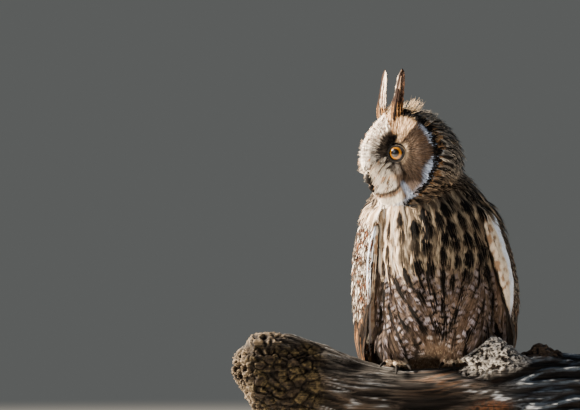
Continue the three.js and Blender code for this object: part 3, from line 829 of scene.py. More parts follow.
def lie_of_face(points, _normals):
    """Away from the nearer eye."""
    across = to_head(points)[:, 0]
    away = points - np.where(across[:, None] > 0, cornea(1), cornea(-1))
    away[:, 2] += -10 * (smooth(190, 170, points[:, 2]) * smooth(30, 8, np.abs(across)))
    return away


def lie_of_crown(points, _normals):
    """Back from the bill over the crown and down the nape."""
    head = to_head(points)
    away = unit(head - [0, 2, 178])
    away[:, 2] -= 1.7 * smooth(38, 84, head[:, 1])
    away[:, 1] += 0.35
    return from_head(away, place=False)


def lie_of_body(points, normals):
    """Down, drawn in to the foot of the breast in a V, straight at the flanks, and back under the vent."""
    z = points[:, 2]
    from_middle = off_middle(points)
    front = smooth(0.3, -0.4, normals[:, 1])
    flank = smooth(36, 47, np.abs(from_middle)) * smooth(105, 85, z)
    inward = -0.95 * np.clip((from_middle - 6) / 40, -1, 1) * smooth(122, 70, z) * smooth(16, 42, z)
    sideways = front * (inward * (1 - 0.9 * flank) + 0.2 * smooth(100, 140, z))
    return np.stack([sideways, smooth(-0.3, -0.8, normals[:, 2]) * 1.6, np.full(len(points), -1.0)], 1)


class WingMap:
    """Where on a folded wing a point lies: its place across the wing, the way down along it and the way out."""

    def __init__(self, side):
        z, across = np.meshgrid(np.linspace(150, -112, 132), np.linspace(0, 1, 41), indexing="ij")
        z, self.across = z.ravel(), across.ravel()
        place, self.outward = wing_surface(z, self.across, side)
        self.down = unit(wing_surface(z - 2, self.across, side)[0] - place)
        self.tree = KDTree(len(place))
        for i, p in enumerate(place.tolist()):
            self.tree.insert(p, i)
        self.tree.balance()

    def of(self, points):
        found = [self.tree.find(p)[1] for p in points.tolist()]
        return self.across[found], self.down[found], self.outward[found]


WING = {side: WingMap(side) for side, _ in SIDES}


def nearer_wing(points):
    """Whether each point is on the bird's left, its place across that wing, the way down and the way out."""
    left = off_middle(points) > 0
    across, down, out = zip(WING[1].of(points), WING[-1].of(points))
    return left, np.where(left, *across), np.where(left[:, None], *down), np.where(left[:, None], *out)


def lie_of_wing(points, _normals):
    return nearer_wing(points)[2]


# Colours of the face, which a tuft takes from where it lies

def oval(u, z, middle, half, turn=0.0, edge=0.25):
    """1 inside an oval patch and 0 outside it, with a soft edge. turn is in degrees."""
    c, s = math.cos(math.radians(turn)), math.sin(math.radians(turn))
    du, dz = u - middle[0], z - middle[1]
    far = np.hypot((c * du + s * dz) / half[0], (c * dz - s * du) / half[1])
    return smooth(1 + edge, 1 - edge, far)


def stroke(u, z, start, end, width):
    """1 along a line over the face, fading out to both sides."""
    run = np.array(end, float) - start
    t = np.clip(((u - start[0]) * run[0] + (z - start[1]) * run[1]) / (run ** 2).sum(), 0, 1)
    return bell(np.hypot(u - start[0] - t * run[0], z - start[1] - t * run[1]), 0, width)


SEEN_RIGHT = np.array([0.4695, 0.8829])   # to the right in the photo's view, in the head's x and y


class FaceMap:
    """Where points lie on the face, in mm, and the streaks of its feathers there."""

    def __init__(self, points):
        head = to_head(points)
        x, z = np.abs(head[..., 0]), head[..., 2]
        front, rim_y, rim_x, _ = (value.reshape(z.shape) for value in head_at(z.ravel()).T)
        # u is the distance along the disc from the middle of the face, inside that inwards from its rim
        u = np.hypot(x, np.maximum(head[..., 1] - front, 0))
        self.u, self.z = u, z
        self.inside = np.hypot(rim_x, rim_y - front) * (1 - x / rim_x)
        # towards the back of the head in the photo's view
        self.ahead = SEEN_RIGHT[0] * x + SEEN_RIGHT[1] * head[..., 1]
        # outwards and away from the eye, and the streaks that run out from it
        self.outer = u - EYE_ALONG_DISC
        around, self.away = np.arctan2(z - EYE_HEIGHT, self.outer), np.hypot(self.outer, z - EYE_HEIGHT)
        self.ray = 0.5 + 0.5 * np.sin(around * 61 + 3 * np.sin(around * 17)) * np.sin(around * 37 + 1.3)
        waves = np.sin(around * 113 + 2 * np.sin(self.away * 0.9)) * np.sin(self.away * 1.1 + around * 23)
        self.fine = 0.5 + 0.5 * waves
        # the height where the white beard ends, and distances inside the two long edges of the buff brow
        self.foot_of_beard = np.interp(u, (10, 20.6, 30.5, 36), (156.5, 159.2, 166.2, 176))
        self.from_nose = 0.921 * (self.ahead - 18.5) + 0.389 * (z - 226)
        self.from_ear = -0.781 * (self.ahead - 33) + 0.625 * (z - 203.5)
        self.brow = (smooth(-0.5, 1.2, self.from_nose) * smooth(-0.8, 1.2, self.from_ear)
                     * smooth(201.5, 204.5, z))


def disc(colour, at):
    """Pale round the eye, greyer and darker outwards, with fine dark rays."""
    colour = lay(colour, "#352c27", smooth(10, 27, at.away) * smooth(-8, 10, at.outer))
    colour = lay(colour, "#453527", 0.85 * smooth(0.35, 0.9, at.ray * at.fine * 2) * smooth(9, 15, at.away))
    pale = 0.8 * smooth(12.5, 9, at.away) * smooth(-3, 6, at.outer) * (0.4 + 0.6 * at.ray)
    colour = lay(colour, "#cdb89c", pale)
    return lay(colour, "#a8958a", 0.8 * oval(at.u, at.z, (40, 161), (9, 7), 20) * (0.3 + 0.4 * at.fine))


def buff_brow(colour, at):
    """Buff tuft over the eye, a wedge pointed at its foot between two dark lines."""
    streaks = np.clip(1.3 * at.ray * at.fine + 0.2 * at.ray, 0, 1)
    colour = lay(colour, mix("#8f6b4b", "#e3c9a6", streaks), at.brow)
    lines = (bell(at.from_nose, -0.8, 1.3) * smooth(226, 220, at.z)
             + bell(at.from_ear, -1.2, 1.5) * smooth(217, 208, at.z))
    return lay(colour, "#2a1c13", 1.1 * lines * smooth(200, 203, at.z) * (0.6 + 0.4 * at.ray))


def white_middle(colour, at):
    """White bristles from the black patch to the middle of the face."""
    white = smooth(18, 11, at.u + 5 * (at.ray - 0.5)) * smooth(158, 166, at.z) * (1 - at.brow)
    return lay(colour, mix("#fbf5ec", "#8f7c69", 0.55 * smooth(0.3, 0.8, at.ray * at.fine * 2)), white)


def cream_forehead(colour, at):
    """Cream forehead with rows of brown flecks."""
    u, z = at.u, at.z
    fleck = smooth(0.15, 0.55, np.sin(z * 1.7 + u * 0.9) * np.sin(u * 1.9 - z * 0.7))
    seam = 1.5 + 0.44 * np.maximum(z - 190, 0)
    forehead = smooth(6, 0, u - seam - 3) * smooth(196, 206, z) * (1 - at.brow)
    colour = lay(colour, "#f7ecdb", forehead)
    colour = lay(colour, "#8d5a34", 0.85 * fleck * np.maximum(forehead, smooth(4, 1, u) * smooth(186, 196, z)))
    rows = bell(u, seam, 1.3) + bell(u, seam - 3.6, 1.2) * smooth(196, 204, z)
    return lay(colour, "#4a2f1e", rows * smooth(184, 194, z) * smooth(-0.1, 0.4, np.sin(z * 1.9)))


def black_patch(colour, at):
    """Black in front of the eye, its edge drawn out along the bristles."""
    u, z = at.u, at.z
    far = np.hypot((u - 23) / (5.4 + 5.5 * at.ray * smooth(26, 20, u)), (z - 197.5) / (10 + 3 * at.ray))
    colour = lay(colour, "#0c0908", smooth(1.4, 1.0, far))
    colour = lay(colour, "#4f4740", 0.85 * oval(u, z, (16, 197), (7, 11), 0, 0.5) * at.ray)
    return lay(colour, "#0c0908", oval(u, z, (25, 205), (3.5, 6.5), -30))


def white_beard(colour, at):
    """A buff cheek, the white beard, grey bristles under the eye and a dark line of painted shade round them.
    """
    u, z = at.u, at.z
    cheek = oval(u, z, (20.5, 171), (5, 3.2), 20, 0.4)
    beard = smooth(27, 21, u) * smooth(187, 180, z) * smooth(at.foot_of_beard, at.foot_of_beard + 3, z)
    colour = lay(colour, mix("#c48a54", "#e6c79c", at.ray), cheek)
    white = mix("#fbf4ea", "#6f6459", 0.65 * smooth(0.5, 0.95, at.ray * at.fine * 1.8))
    colour = lay(colour, white, beard * (1 - 0.8 * cheek))
    grey = mix("#9a928b", "#2a221d", smooth(0.3, 0.75, at.ray))
    colour = lay(colour, grey, oval(u, z, (25, 182), (10.5, 6), -25, 0.4))
    # painted shade: the dark line where the muzzle meets the disc and along the foot of the beard
    dark = stroke(u, z, (34, 186), (35.5, 175), 1.6) + stroke(u, z, (35.5, 175), (31, 166.5), 1.9)
    dark = dark + bell(z, at.foot_of_beard + 0.3, 1.1) * smooth(9, 14, u) * smooth(33, 30, u)
    return lay(colour, "#1a120d", 1.1 * dark * (0.55 + 0.45 * at.ray))


def chin(colour, at):
    """Buff, orange and black bristles in a narrow band under the white ones."""
    u, z, foot = at.u, at.z, at.foot_of_beard
    speck = np.sin(u * 2.9 + z * 1.3) * np.sin(u * 1.3 - z * 2.1)
    orange = mix("#eadfce", "#8f6440", smooth(-0.3, 0.4, speck) * smooth(foot - 5, foot - 3, z))
    bristles = mix(orange, "#1c130d", smooth(0.1, -0.4, speck) * smooth(foot - 6, foot - 4, z))
    return lay(colour, bristles, smooth(foot - 0.5, foot - 2.5, z) * smooth(29, 24, u))


def frosty_rim(colour, at):
    """Frosty crescents just inside the rim, a blue-white patch at the foot of the disc, and the black line."""
    u, z, inside = at.u, at.z, at.inside
    upper = smooth(5.2 * bell(z, 212, 13), 0.2, inside - 1.5) * smooth(197, 201, z) * smooth(228, 222, z)
    lower = smooth(9.0 * bell(z, 179, 11), 0.5, inside - 1.5) * smooth(165, 170, z) * smooth(193, 189, z)
    foot = oval(u, z, (32.5, 160.5), (3.3, 6.5), 20, 0.5)
    foot = foot + 0.8 * smooth(4.5, 1.5, inside - 1) * smooth(170, 164, z)
    frost = mix("#a3b5d2", "#333b48", 0.9 * smooth(0.4, 0.85, at.ray * at.fine * 1.8))
    colour = lay(colour, frost, upper + lower + foot * (0.45 + 0.55 * at.fine))
    over_disc = np.interp(at.ahead, (20, 39, 53, 58), (229.0, 225.5, 217.9, 212))
    line = smooth(2.3, 1.1, inside) * smooth(148, 153, z)
    return lay(colour, "#0b0908", line + smooth(-0.8, 0.8, z - over_disc) * smooth(15, 20, at.ahead))


def face_colour(points):
    """The colour of the face at each point, laid on from the brown of the disc to the line round it."""
    colour, at = "#65574b", FaceMap(points)
    for layer in (disc, buff_brow, white_middle, cream_forehead, black_patch, white_beard, chin, frosty_rim):
        colour = layer(colour, at)
    return colour


# Charts that lay the coat out flat for the bake map

def round_middle(across, ahead, radius):
    """Distance round an upright middle line, from the angle that a place is seen at from it."""
    return np.arctan2(across, -ahead) * radius


def chart_of_head(points):
    head = to_head(points)
    return np.stack([round_middle(head[:, 0], head[:, 1] - 45, 48), head[:, 2]], 1)


def chart_of_body(points):
    return np.stack([round_middle(points[:, 0], points[:, 1], 58), points[:, 2] + 0.6 * points[:, 1]], 1)


def chart_of_wings(points):
    left = points[:, 0] > 0
    across = np.where(left, WING[1].of(points)[0], -WING[-1].of(points)[0])
    return np.stack([across * 120 + np.where(left, 30, -30), points[:, 2]], 1)


# Regions of the skin, by face

centres, outward = form.centres, form.face_normals
height = centres[:, 2]
head_centres = to_head(centres)
off_nose = np.abs(head_centres[:, 0])
rim = head_at(height)
behind_rim = head_centres[:, 1] - rim[:, 1]
is_head = FACE_OWNER == "head"
on_disc = is_head & (behind_rim < 0.5) & (off_nose < rim[:, 2])
for side, _ in SIDES:
    on_disc &= np.linalg.norm(centres - eye_frame(side)[0], axis=1) > 11.0


# Pieces of the coat

# The ridge of the bill in the head's frame: along z, y of its front.
ridge_at = through([
    [155, 8.5], [157, 6.4], [160, 3.6], [163.5, 1.7], [170, 0.9], [174, 1.6], [178, 3.2], [186, 0],
])


def clear_of_bill(group):
    """Keeps bristles behind the ridge of the bill, so that it shows as a dark line in outline."""
    at = to_head(group["points"])
    behind = ridge_at(at[:, 2])[:, 0] + 3.1 - 0.53 * np.abs(at[:, 0])
    low = (at[:, 2] < 176) & (at[:, 2] > 153)
    at[:, 1] = np.where(low, np.maximum(at[:, 1], behind), at[:, 1])
    return {**group, "points": from_head(at)}


def coat_of_face():
    """Fine hair-like feathers of the two discs, longer over the brow and round the bill."""
    places, _ = scatter(on_disc & (height > 148) & (height < 233), spacing=1.25, seed=11)
    head, z = to_head(places), places[:, 2]
    u = np.hypot(head[:, 0], np.maximum(head[:, 1] - head_at(z)[:, 0], 0))
    away = np.hypot(u - EYE_ALONG_DISC, z - EYE_HEIGHT)
    muzzle = smooth(18, 8, u) * smooth(160, 170, z) * smooth(205, 180, z)
    brow = bell(u, 34, 9) * smooth(202, 208, z) * smooth(226, 218, z)
    length = 4.5 + 4.5 * smooth(9, 24, away) + 2.5 * muzzle + 2 * brow - 2 * smooth(160, 152, z)
    lift = 1.3 + 1.2 * muzzle + 2.2 * brow + 0.8 * smooth(12, 4, u) * smooth(165, 176, z)
    path, out = follow(places, lie_of_face, length, 3)
    return clear_of_bill(tufts(
        path, out, length, width=1.7, lift=lift, locks=2, rows=5, seed=12, fan=0.8, rounded=0.1, arch=0.2,
        loose=0.22, slim=0.42, uneven=0.17, paint=lambda j, t, points: face_colour(points)))


def bristles_over_bill(rng):
    """Stiff white bristles over the sides of the bill, with some black and tan ones among them."""
    muzzle = on_disc & (off_nose > 2.5) & (off_nose < 15) & (height > 165) & (height < 190)
    places, normals = scatter(muzzle, spacing=1.5, seed=14)
    n = len(places)
    across = to_head(places)[:, 0]
    drop = -1.3 + 0.4 * smooth(176, 186, places[:, 2])
    heading = np.stack([-0.35 * np.sign(across), np.full(n, -0.6), drop], 1)
    length = 7.5 + 3 * smooth(12, 4, np.abs(across)) + rng.normal(0, 1.2, n)
    path, out = free(places, normals, from_head(heading, place=False), length, rise=0.4, bend=0.25)
    own = spread_out(BRISTLE, n, rng, 0.12)
    own["ground"] = dealt(rng.random(n), ((0.25, "#3b322b"), (0.45, "#b08e6c")), own["ground"])
    own["edge"] = own["ground"]
    return clear_of_bill(tufts(
        path, out, length, width=1.3, lift=0.3, locks=2, rows=5, paint=marks(own), seed=15, fan=0.8,
        rounded=0.05, arch=0.2, loose=0.3, slim=0.4))


def fringe_of_face(rng):
    """Fine bristles that stand out past the face in outline, each in the colour of its root."""
    places, normals = scatter(on_disc & (off_nose < 8) & (height > 178) & (height < 231), spacing=2.1, seed=16)
    heading = lie_of_face(places, normals)
    heading[:, 2] -= 10 * smooth(205, 176, places[:, 2])
    length = rng.uniform(4.5, 7.5, len(places))
    path, out = free(places, normals, heading, length, rise=0.4, bend=0.1)

    def colour_of_root(j, t, points):
        return face_colour(np.broadcast_to(places[:, None, None, None], points.shape))
    return tufts(path, out, length, width=1.2, lift=0.2, locks=2, rows=5, paint=colour_of_root, seed=17,
                 fan=0.8, rounded=0.05, arch=0.2, loose=0.3, slim=0.34)


def coat_of_bristles():
    rng = np.random.default_rng(13)
    return [bristles_over_bill(rng), fringe_of_face(rng)]


def ruff_row(chosen, spacing, number):
    """One row of the ruff. Row 0 is the black line, row 1 has brown feathers, and fleck-tipped ones."""
    places, _ = scatter(chosen, spacing, seed=21 + number)
    n = len(places)
    rng = np.random.default_rng(23 + number)
    own = spread_out(RUFF, n, rng, 0.2)
    if number:
        fleck = rng.random(n)
        own["tipping"] = np.where(fleck < 0.5, 0.95, 0.0)
        own["tip"] = dealt(fleck, ((0.2, FROST), (0.38, BUFF)), WHITE) * 0.8
        own["ground"] = dealt(rng.random(n), ((0.4, "#5b452f"),), own["ground"])
    length = rng.uniform(4.0, 5.5, n) + 1.5 * number
    path, out = follow(places, lie_of_crown, length, 2)
    return tufts(path, out, length, width=2.2 + 0.8 * number, lift=2.2 + 0.6 * number, locks=4, rows=4,
                 paint=marks(own), seed=25 + number, rounded=0.2, loose=0.15)


def coat_of_ruff():
    """Short stiff feathers in a ring behind the discs: a black line, with white and buff flecks outside it."""
    ring = is_head & (behind_rim > -1.8) & (behind_rim < 9) & (off_nose > rim[:, 2] * 0.86)
    ring &= (height > 146) & (height < 231)
    over = is_head & (height >= 227.5) & (height < 233.5) & (behind_rim < 5) & (off_nose > 12)
    return [ruff_row(ring & (behind_rim < 1.6) | over, 1.5, 0), ruff_row(ring & (behind_rim >= 1.6), 2.1, 1)]


def coat_of_crown():
    """Soft feathers of the crown, the sides of the head and the nape, with dark middles and pale tips."""
    places, _ = scatter(is_head & ((behind_rim > 2.5) | (height > 232)), spacing=3.7, seed=31)
    n = len(places)
    rng = np.random.default_rng(32)
    low = smooth(195, 160, places[:, 2])
    own = blend_looks(spread_out(CROWN, n, rng, 0.2), spread_out(NAPE, n, rng, 0.18), low)
    own["streaking"] = np.where(rng.random(n) < 0.75, 1.0, 0.3)
    own["tipping"] = rng.uniform(0.0, 1.0, n) * own["tipping"]
    top = smooth(214, 232, places[:, 2]) * smooth(55, 30, to_head(places)[:, 1])
    length = rng.uniform(11, 16, n) - 4 * top
    path, out = follow(places, lie_of_crown, length, 3)
    return tufts(path, out, length, width=7.6 - 2.5 * top, lift=rng.uniform(3.0, 5.2, n) - 1.0 * top, locks=7,
                 rows=7, paint=marks(own), seed=33, loose=0.2, curl=0.35, split=0.7, uneven=0.12)


def wisps_of_crown():
    """Loose pale wisps that stand up along the top of the head, most of all behind the ear tufts."""
    top = is_head & (height > 205) & (head_centres[:, 1] > 24) & (outward[:, 2] > 0.15)
    places, normals = scatter(top, spacing=5.2, seed=34)
    rng = np.random.default_rng(35)
    by_ears = 24
    close = rng.uniform((12, 32, 230), (20, 46, 233), (by_ears, 3))
    close = close * np.where(rng.random((by_ears, 1)) < 0.65, 1, [-1, 1, 1])
    near_ear, near_normals = form.nearest(from_head(close))
    places, normals = np.concatenate([places, near_ear]), np.concatenate([normals, near_normals])
    n = len(places)
    upright = np.arange(n) >= n - by_ears
    length = np.where(upright, rng.uniform(11, 17, n), rng.uniform(9, 13, n))
    rise = np.where(upright, rng.uniform(1.6, 3.2, n), rng.uniform(0.35, 0.75, n))
    heading = lie_of_crown(places, normals)
    path, out = free(places, normals, heading, length / np.hypot(1, rise), rise[:, None], bend=0.35)
    own = spread_out(WISP, n, rng, 0.15)
    return tufts(path, out, length, width=5.0, lift=0.8, locks=11, rows=6, paint=marks(own), seed=36, loose=1.3,
                 slim=0.2, uneven=0.15)


# Where the pale leading edges of the wings lie in the front view: along z, x of the inner and the outer side.
STRIPE_EDGES = {
    1: through([[34, 62, 64.5], [50, 64, 66.5], [60, 62, 67], [73, 57.6, 67.5], [90, 52.6, 65.5],
                [110, 46.5, 59.5], [126, 43, 53.5], [140, 40.5, 48]]),
    -1: through([[20, -55, -61], [50, -56.5, -62], [67, -56.1, -62], [90, -54.3, -62], [110, -53.5, -59.5],
                 [126, -52.9, -56]]),
}
STRIPE_ENDS = {1: (30, 139), -1: (12, 127)}
FROST_BEGINS = {1: (0.82, 0.94), -1: (0.55, 0.7)}   # share of the width where the frosty outer side begins
SHADE_BEGINS = {1: (62, 42), -1: (80, 60)}          # mm above the feet where the stripe darkens downwards


def beyond_stripe(points):
    """How far outside the inner side of the nearer wing's leading edge a place lies, in the front view."""
    x, z = points[:, 0], points[:, 2]
    return np.maximum(x - STRIPE_EDGES[1](z)[:, 0], STRIPE_EDGES[-1](z)[:, 0] - x)


def breast_files():
    """Roots of the marked feathers of the breast and belly, in files that run down with the lie of the coat."""
    rng = np.random.default_rng(40)
    across = np.arange(-50, 60, 8.6)
    down_sides = np.array([118, 105, 92, 79, 66, 53, 40])
    beside_stripes = [STRIPE_EDGES[-1](down_sides)[:, 0] + 4.5, STRIPE_EDGES[1](down_sides)[:, 0] - 5]
    start_x = np.concatenate([across, *beside_stripes])
    under_chin = 146 + 8 * smooth(-25, 0, across) + 7 * smooth(10, 45, across)
    start_z = np.concatenate([under_chin, down_sides, down_sides])
    path, _ = follow(from_front(start_x, start_z), lie_of_body, 150.0, 60)
    kept = []
    for number, line in enumerate(path):
        i = (0, 4)[number % 2]
        while i < len(line):
            p = line[i]
            apart = 10.0 - 3.0 * float(smooth(84, 98, p[2]))
            clear = all(np.linalg.norm(p - q) > apart for q in kept)
            vent = p[2] < 18 or (abs(p[0] + 1) < 15 and p[2] < 40)
            if clear and not vent and (beyond_stripe(p[None])[0] < -2.5 or p[2] > 139):
                kept.append(p)
            i += int(round((4.4 + 2.4 * float(smooth(84, 100, p[2]))) * rng.uniform(0.8, 1.2)))
    kept = np.array(kept) + rng.normal(0, 1.1, (len(kept), 3))
    return form.nearest(kept)


beyond = beyond_stripe(centres)
on_wing = np.char.startswith(FACE_OWNER, "wing")
wing_under_belly = on_wing & (beyond < -2.2) & (outward[:, 1] < -0.15) & (height < 140) & (height > 12)


def look_of_breast(places, marked, rng):
    """Dark streaks on buff, darker in painted shade on its left and at the neck, pale with thin streaks on its
    right.
    """
    n = len(places)
    x, z = places[:, 0], places[:, 2]
    neck_side = smooth(-15, 8, x) * smooth(138, 148, z)
    breast = spread_out(BREAST, n, rng, 0.14)
    ground = dealt(rng.random(n), ((0.3, "#b3a28a"), (0.55, "#675646")), breast["ground"])
    # painted shade: the ground darkened from the middle towards the bird's left, away from the sun, and at the
    # neck's side
    breast["ground"] = mix(ground, "#43372d", np.clip(0.6 * neck_side + 0.75 * smooth(-40, -12, x), 0, 0.85))
    strong = rng.random(n) + 0.5 * patches(places, 22, 3)
    quiet = np.maximum(0.6 * smooth(0.35, 0.8, strong), neck_side * smooth(0.2, 0.4, strong))
    breast["streaking"] = np.where(marked, smooth(-0.4, -0.15, strong), quiet)
    widening = np.where(marked, rng.uniform(0.9, 1.75, n), 0.45 + 0.7 * neck_side)
    breast["streak_tip"] = breast["streak_tip"] * widening
    breast["streak_end"] = breast["streak_end"] + rng.uniform(-0.08, 0.08, n)
    pale_side = spread_out(BREAST_SIDE, n, rng, 0.08)
    pale_side["streaking"] = np.where(marked, 1.0, 0.7) * rng.uniform(0.5, 1.2, n)
    return blend_looks(breast, pale_side, smooth(-26, -40, x) * smooth(84, 112, z))


def look_of_belly(places, marked, rng):
    """Grey and brown with bars, grey blotches and thin streaks, darker towards the bird's right in painted wing
    shade.
    """
    n = len(places)
    # painted shade: the leading edge of the wing shades the belly towards the bird's right
    painted_wing_shade = 1 - 0.4 * smooth(0, -42, places[:, 0])[:, None]
    belly = spread_out(BELLY, n, rng, 0.14)
    belly["streaking"] = np.where(marked, 1.0, 0.2)
    belly["barring"] = belly["barring"] * np.where(marked, rng.uniform(0.6, 1.1, n), 0.5)
    belly["spots"] = np.where(marked, rng.uniform(0.25, 0.95, n), 0.5 * (rng.random(n) < 0.5))
    for key, least, most in (("bars", 0.75, 1.2), ("streak_root", 0.6, 1.2), ("streak_tip", 0.6, 1.6)):
        belly[key] = belly[key] * rng.uniform(least, most, n)
    belly["ground"] = lay(belly["ground"], "#4b3a2d", 0.4 + 0.9 * patches(places, 12, 6)) * painted_wing_shade
    belly["edge"] = belly["edge"] * painted_wing_shade
    return belly


def look_of_body(places, marked, front, near_wing, rng):
    """Breast, belly and vent in front, nape and mantle behind."""
    n = len(places)
    x, z = places[:, 0], places[:, 2]
    breast, belly = look_of_breast(places, marked, rng), look_of_belly(places, marked, rng)
    under = blend_looks(breast, belly, smooth(106, 92, z + 7 * patches(places, 14, 5)))
    plain = smooth(20, 9, z + 4 * patches(places, 9, 7)) * smooth(50, 40, np.abs(x + 2))
    plain = np.maximum(plain, bell(x, -1, 15) * smooth(48, 34, z))
    under = blend_looks(under, spread_out(VENT, n, rng, 0.08), plain)
    # painted shade in the crease beside the leading edge of the wing
    for key in ("ground", "edge", "spot"):
        under[key] = under[key] * (1 - 0.35 * near_wing)[:, None]
    back = blend_looks(spread_out(NAPE, n, rng, 0.14), spread_out(MANTLE, n, rng, 0.14), smooth(165, 140, z))
    return blend_looks(back, under, front)


def coat_of_body():
    """The marked feathers of breast and belly, the coat between them, and neck, mantle and vent."""
    trunk = (FACE_OWNER == "trunk") | (FACE_OWNER == "neck") | wing_under_belly
    on_wing_edge = (beyond > -1.5) & (height < 127) & (outward[:, 1] < 0.3) & (height > 20)
    under_places, under_normals = scatter(trunk & (height > -46) & ~on_wing_edge,
                                          spacing=np.where(height < 22, 4.2, 5.0), seed=41)
    file_places, file_normals = breast_files()
    places, normals = np.concatenate([under_places, file_places]), np.concatenate([under_normals, file_normals])
    n = len(places)
    marked = np.arange(n) >= len(under_places)
    rng = np.random.default_rng(42)
    x, z = places[:, 0], places[:, 2]
    front = smooth(0.25, -0.25, normals[:, 1])
    near_wing = smooth(-4.5, -1.5, beyond_stripe(places)) * smooth(145, 132, z) * (front > 0.5)
    flank = smooth(52, 40, z) * smooth(36, 44, np.abs(x + 2)) * (normals[:, 1] < 0.5)
    low = smooth(24, 6, z)
    own = look_of_body(places, marked, front, near_wing, rng)
    length = 20 + 4 * smooth(150, 120, z) - 7 * low + 18 * flank + rng.normal(0, 1.2, n)
    length = np.where(marked, 22.5 + 7 * smooth(84, 100, z), length)
    width = 10.5 + 2 * smooth(120, 80, z) - 5 * low * (1 - flank) - 3 * near_wing + np.where(marked, 2.6, 0)
    lift = np.where(marked, 4.3, 3.3 + 2.2 * (1 - front)) - 0.6 * low + rng.normal(0, 0.3, n)
    lift = lift - 0.8 * near_wing + 8 * flank
    lift = lift - 2.6 * (1 - front) * smooth(146, 128, z) * (np.abs(x) > 40)
    path, out = follow(places, lie_of_body, length, 4)
    parts = []
    kinds = ((marked, 17, 18, 1.9), ((front > 0.5) & ~marked, 9, 7, 0.3), ((front <= 0.5) & ~marked, 9, 7, 0.3))
    for number, (kind, locks, rows, hold) in enumerate(kinds):
        paint = marks({key: value[kind] for key, value in own.items()})
        parts.append(tufts(path[kind], out[kind], length[kind], width[kind], lift[kind], locks, rows, paint,
                           seed=43 + number, loose=0.14, rounded=0.35, split=0.4, slim=0.58, taper=5,
                           uneven=0.12, fan=0.55, hold=hold))
    return parts


def coat_of_stripe(side):
    """The smooth pale leading edge of a folded wing: cream with tan blotches, and a frosty outer side."""
    low, high = STRIPE_ENDS[side]
    length = 11.5
    rng = np.random.default_rng(57 + side)
    z, share = np.meshgrid(np.arange(high, low, -3.6), np.array([0.08, 0.3, 0.52, 0.74, 0.94]), indexing="ij")
    z, share = z.ravel() + rng.uniform(-1.2, 1.2, z.size), share.ravel()
    inner, outer = STRIPE_EDGES[side](z).T
    places, _ = form.nearest(from_front(inner + (outer - inner) * share, z))
    n = len(places)

    def down_stripe(points, _normals):
        begin, end = STRIPE_EDGES[side](points[:, 2] - 6).T
        wanted = begin + (end - begin) * share
        return np.stack([wanted - points[:, 0], np.zeros(len(points)), np.full(len(points), -6.0)], 1)
    path, out = follow(places, down_stripe, length, 4)
    cream = marks(spread_out(STRIPE, n, rng, 0.03))

    def frosted(j, t, points):
        flat = points.reshape(-1, 3)
        begin, end = STRIPE_EDGES[side](flat[:, 2]).T
        over = (flat[:, 0] - begin) / (end - begin) + 0.12 * patches(flat, 5, 63)
        tan = smooth(-0.15, 0.3, patches(flat * [1, 1, 0.8], 3.6, 60 + side)) * smooth(0.95, 0.6, over)
        colour = mix(cream(j, t, points).reshape(-1, 3), "#7f5d3d", 0.85 * tan)
        colour = mix(colour, "#dbe6f6", 0.95 * smooth(*FROST_BEGINS[side], over))
        colour = mix(colour, "#4f3c2e", 0.85 * smooth(*SHADE_BEGINS[side], flat[:, 2]))
        # painted shade: black along the inner edge, where the stripe meets the body
        return mix(colour, "#120e0b", smooth(0.12, 0.0, over)).reshape(points.shape)
    return tufts(path, out, length, width=(outer - inner) / 5 + 2.0, lift=2.0, locks=5, rows=7, paint=frosted,
                 seed=58 + side, loose=0.03, rounded=0.2, split=0.1, slim=0.62, taper=6, uneven=0.02, fan=0.8,
                 hold=1.2)


def covert_faces():
    """The faces of the wings that small feathers grow on: not the pale leading edges, nor the quills."""
    left, _, _, out = nearer_wing(centres)
    wide = np.where(left, *(np.abs(np.diff(STRIPE_EDGES[side](height), axis=1)[:, 0]) for side, _ in SIDES))
    low, high = (np.where(left, STRIPE_ENDS[1][end], STRIPE_ENDS[-1][end]) for end in (0, 1))
    in_stripe = (beyond > 0) & (beyond < wide - 1) & (outward[:, 1] < -0.1) & (height > low) & (height < high)
    quills_only = ((outward * out).sum(1) > 0.2) & (height < 50 + 14 * patches(centres, 9, 54))
    return on_wing & ~in_stripe & ~quills_only & ~wing_under_belly


def coat_of_wings():
    """Small coverts, darker in painted shade on the bird's left wing, and the lining of the folded wings in
    painted shade.
    """
    places, normals = scatter(covert_faces(), spacing=3.6, seed=51)
    n = len(places)
    rng = np.random.default_rng(52)
    z = places[:, 2]
    left, across, _, out_of_wing = nearer_wing(places)
    covert = spread_out(COVERT, n, rng, 0.16)
    draw = rng.random(n)
    rufous = linear("#6b3f26") * rng.uniform(0.7, 1.15, (n, 1))
    covert["ground"] = dealt(draw, ((0.4, rufous), (0.66, "#f0e7db")), linear("#2a1c13"))
    covert["edge"] = mix(covert["edge"], covert["ground"], np.where(left, 0.0, 0.8))
    covert["spots"] = rng.uniform(0.2, 1.0, n)
    # painted shade: the coverts of the bird's left wing, which the sun does not reach
    for key in ("ground", "edge", "spot"):
        covert[key] = mix(covert[key], "#1f1915", np.where(left, 0.6, 0.0))
    lining = spread_out(LINING_IN_SHADE, n, rng, 0.08)
    for key in ("ground", "edge"):
        lining[key] = mix(lining[key], "#8f7459", 0.9 * smooth(48, 34, z) * (normals[:, 1] < 0.4))
    # painted shade: the inner side of each wing and the gap beside the body take the dark lining
    inner = smooth(0.1, -0.25, (normals * out_of_wing).sum(1))
    gap = smooth(0.6, -0.6, beyond_stripe(places)) * (normals[:, 1] < 0.1)
    own = blend_looks(covert, lining, np.clip(inner + gap, 0, 1))
    leading = smooth(0.2, 0.13, across) * smooth(0.3, -0.2, normals[:, 1])
    length = 11.5 - 2.5 * leading + rng.normal(0, 1.2, n) + 4 * smooth(72, 50, z)
    path, out = follow(places, lie_of_wing, length, 3)
    return tufts(path, out, length, width=7.2 - 2.5 * leading, lift=2.5 - 1.2 * leading - 1.0 * inner, locks=7,
                 rows=6, paint=marks(own), seed=53, loose=0.08, rounded=0.28, split=0.5, slim=0.58, taper=4)


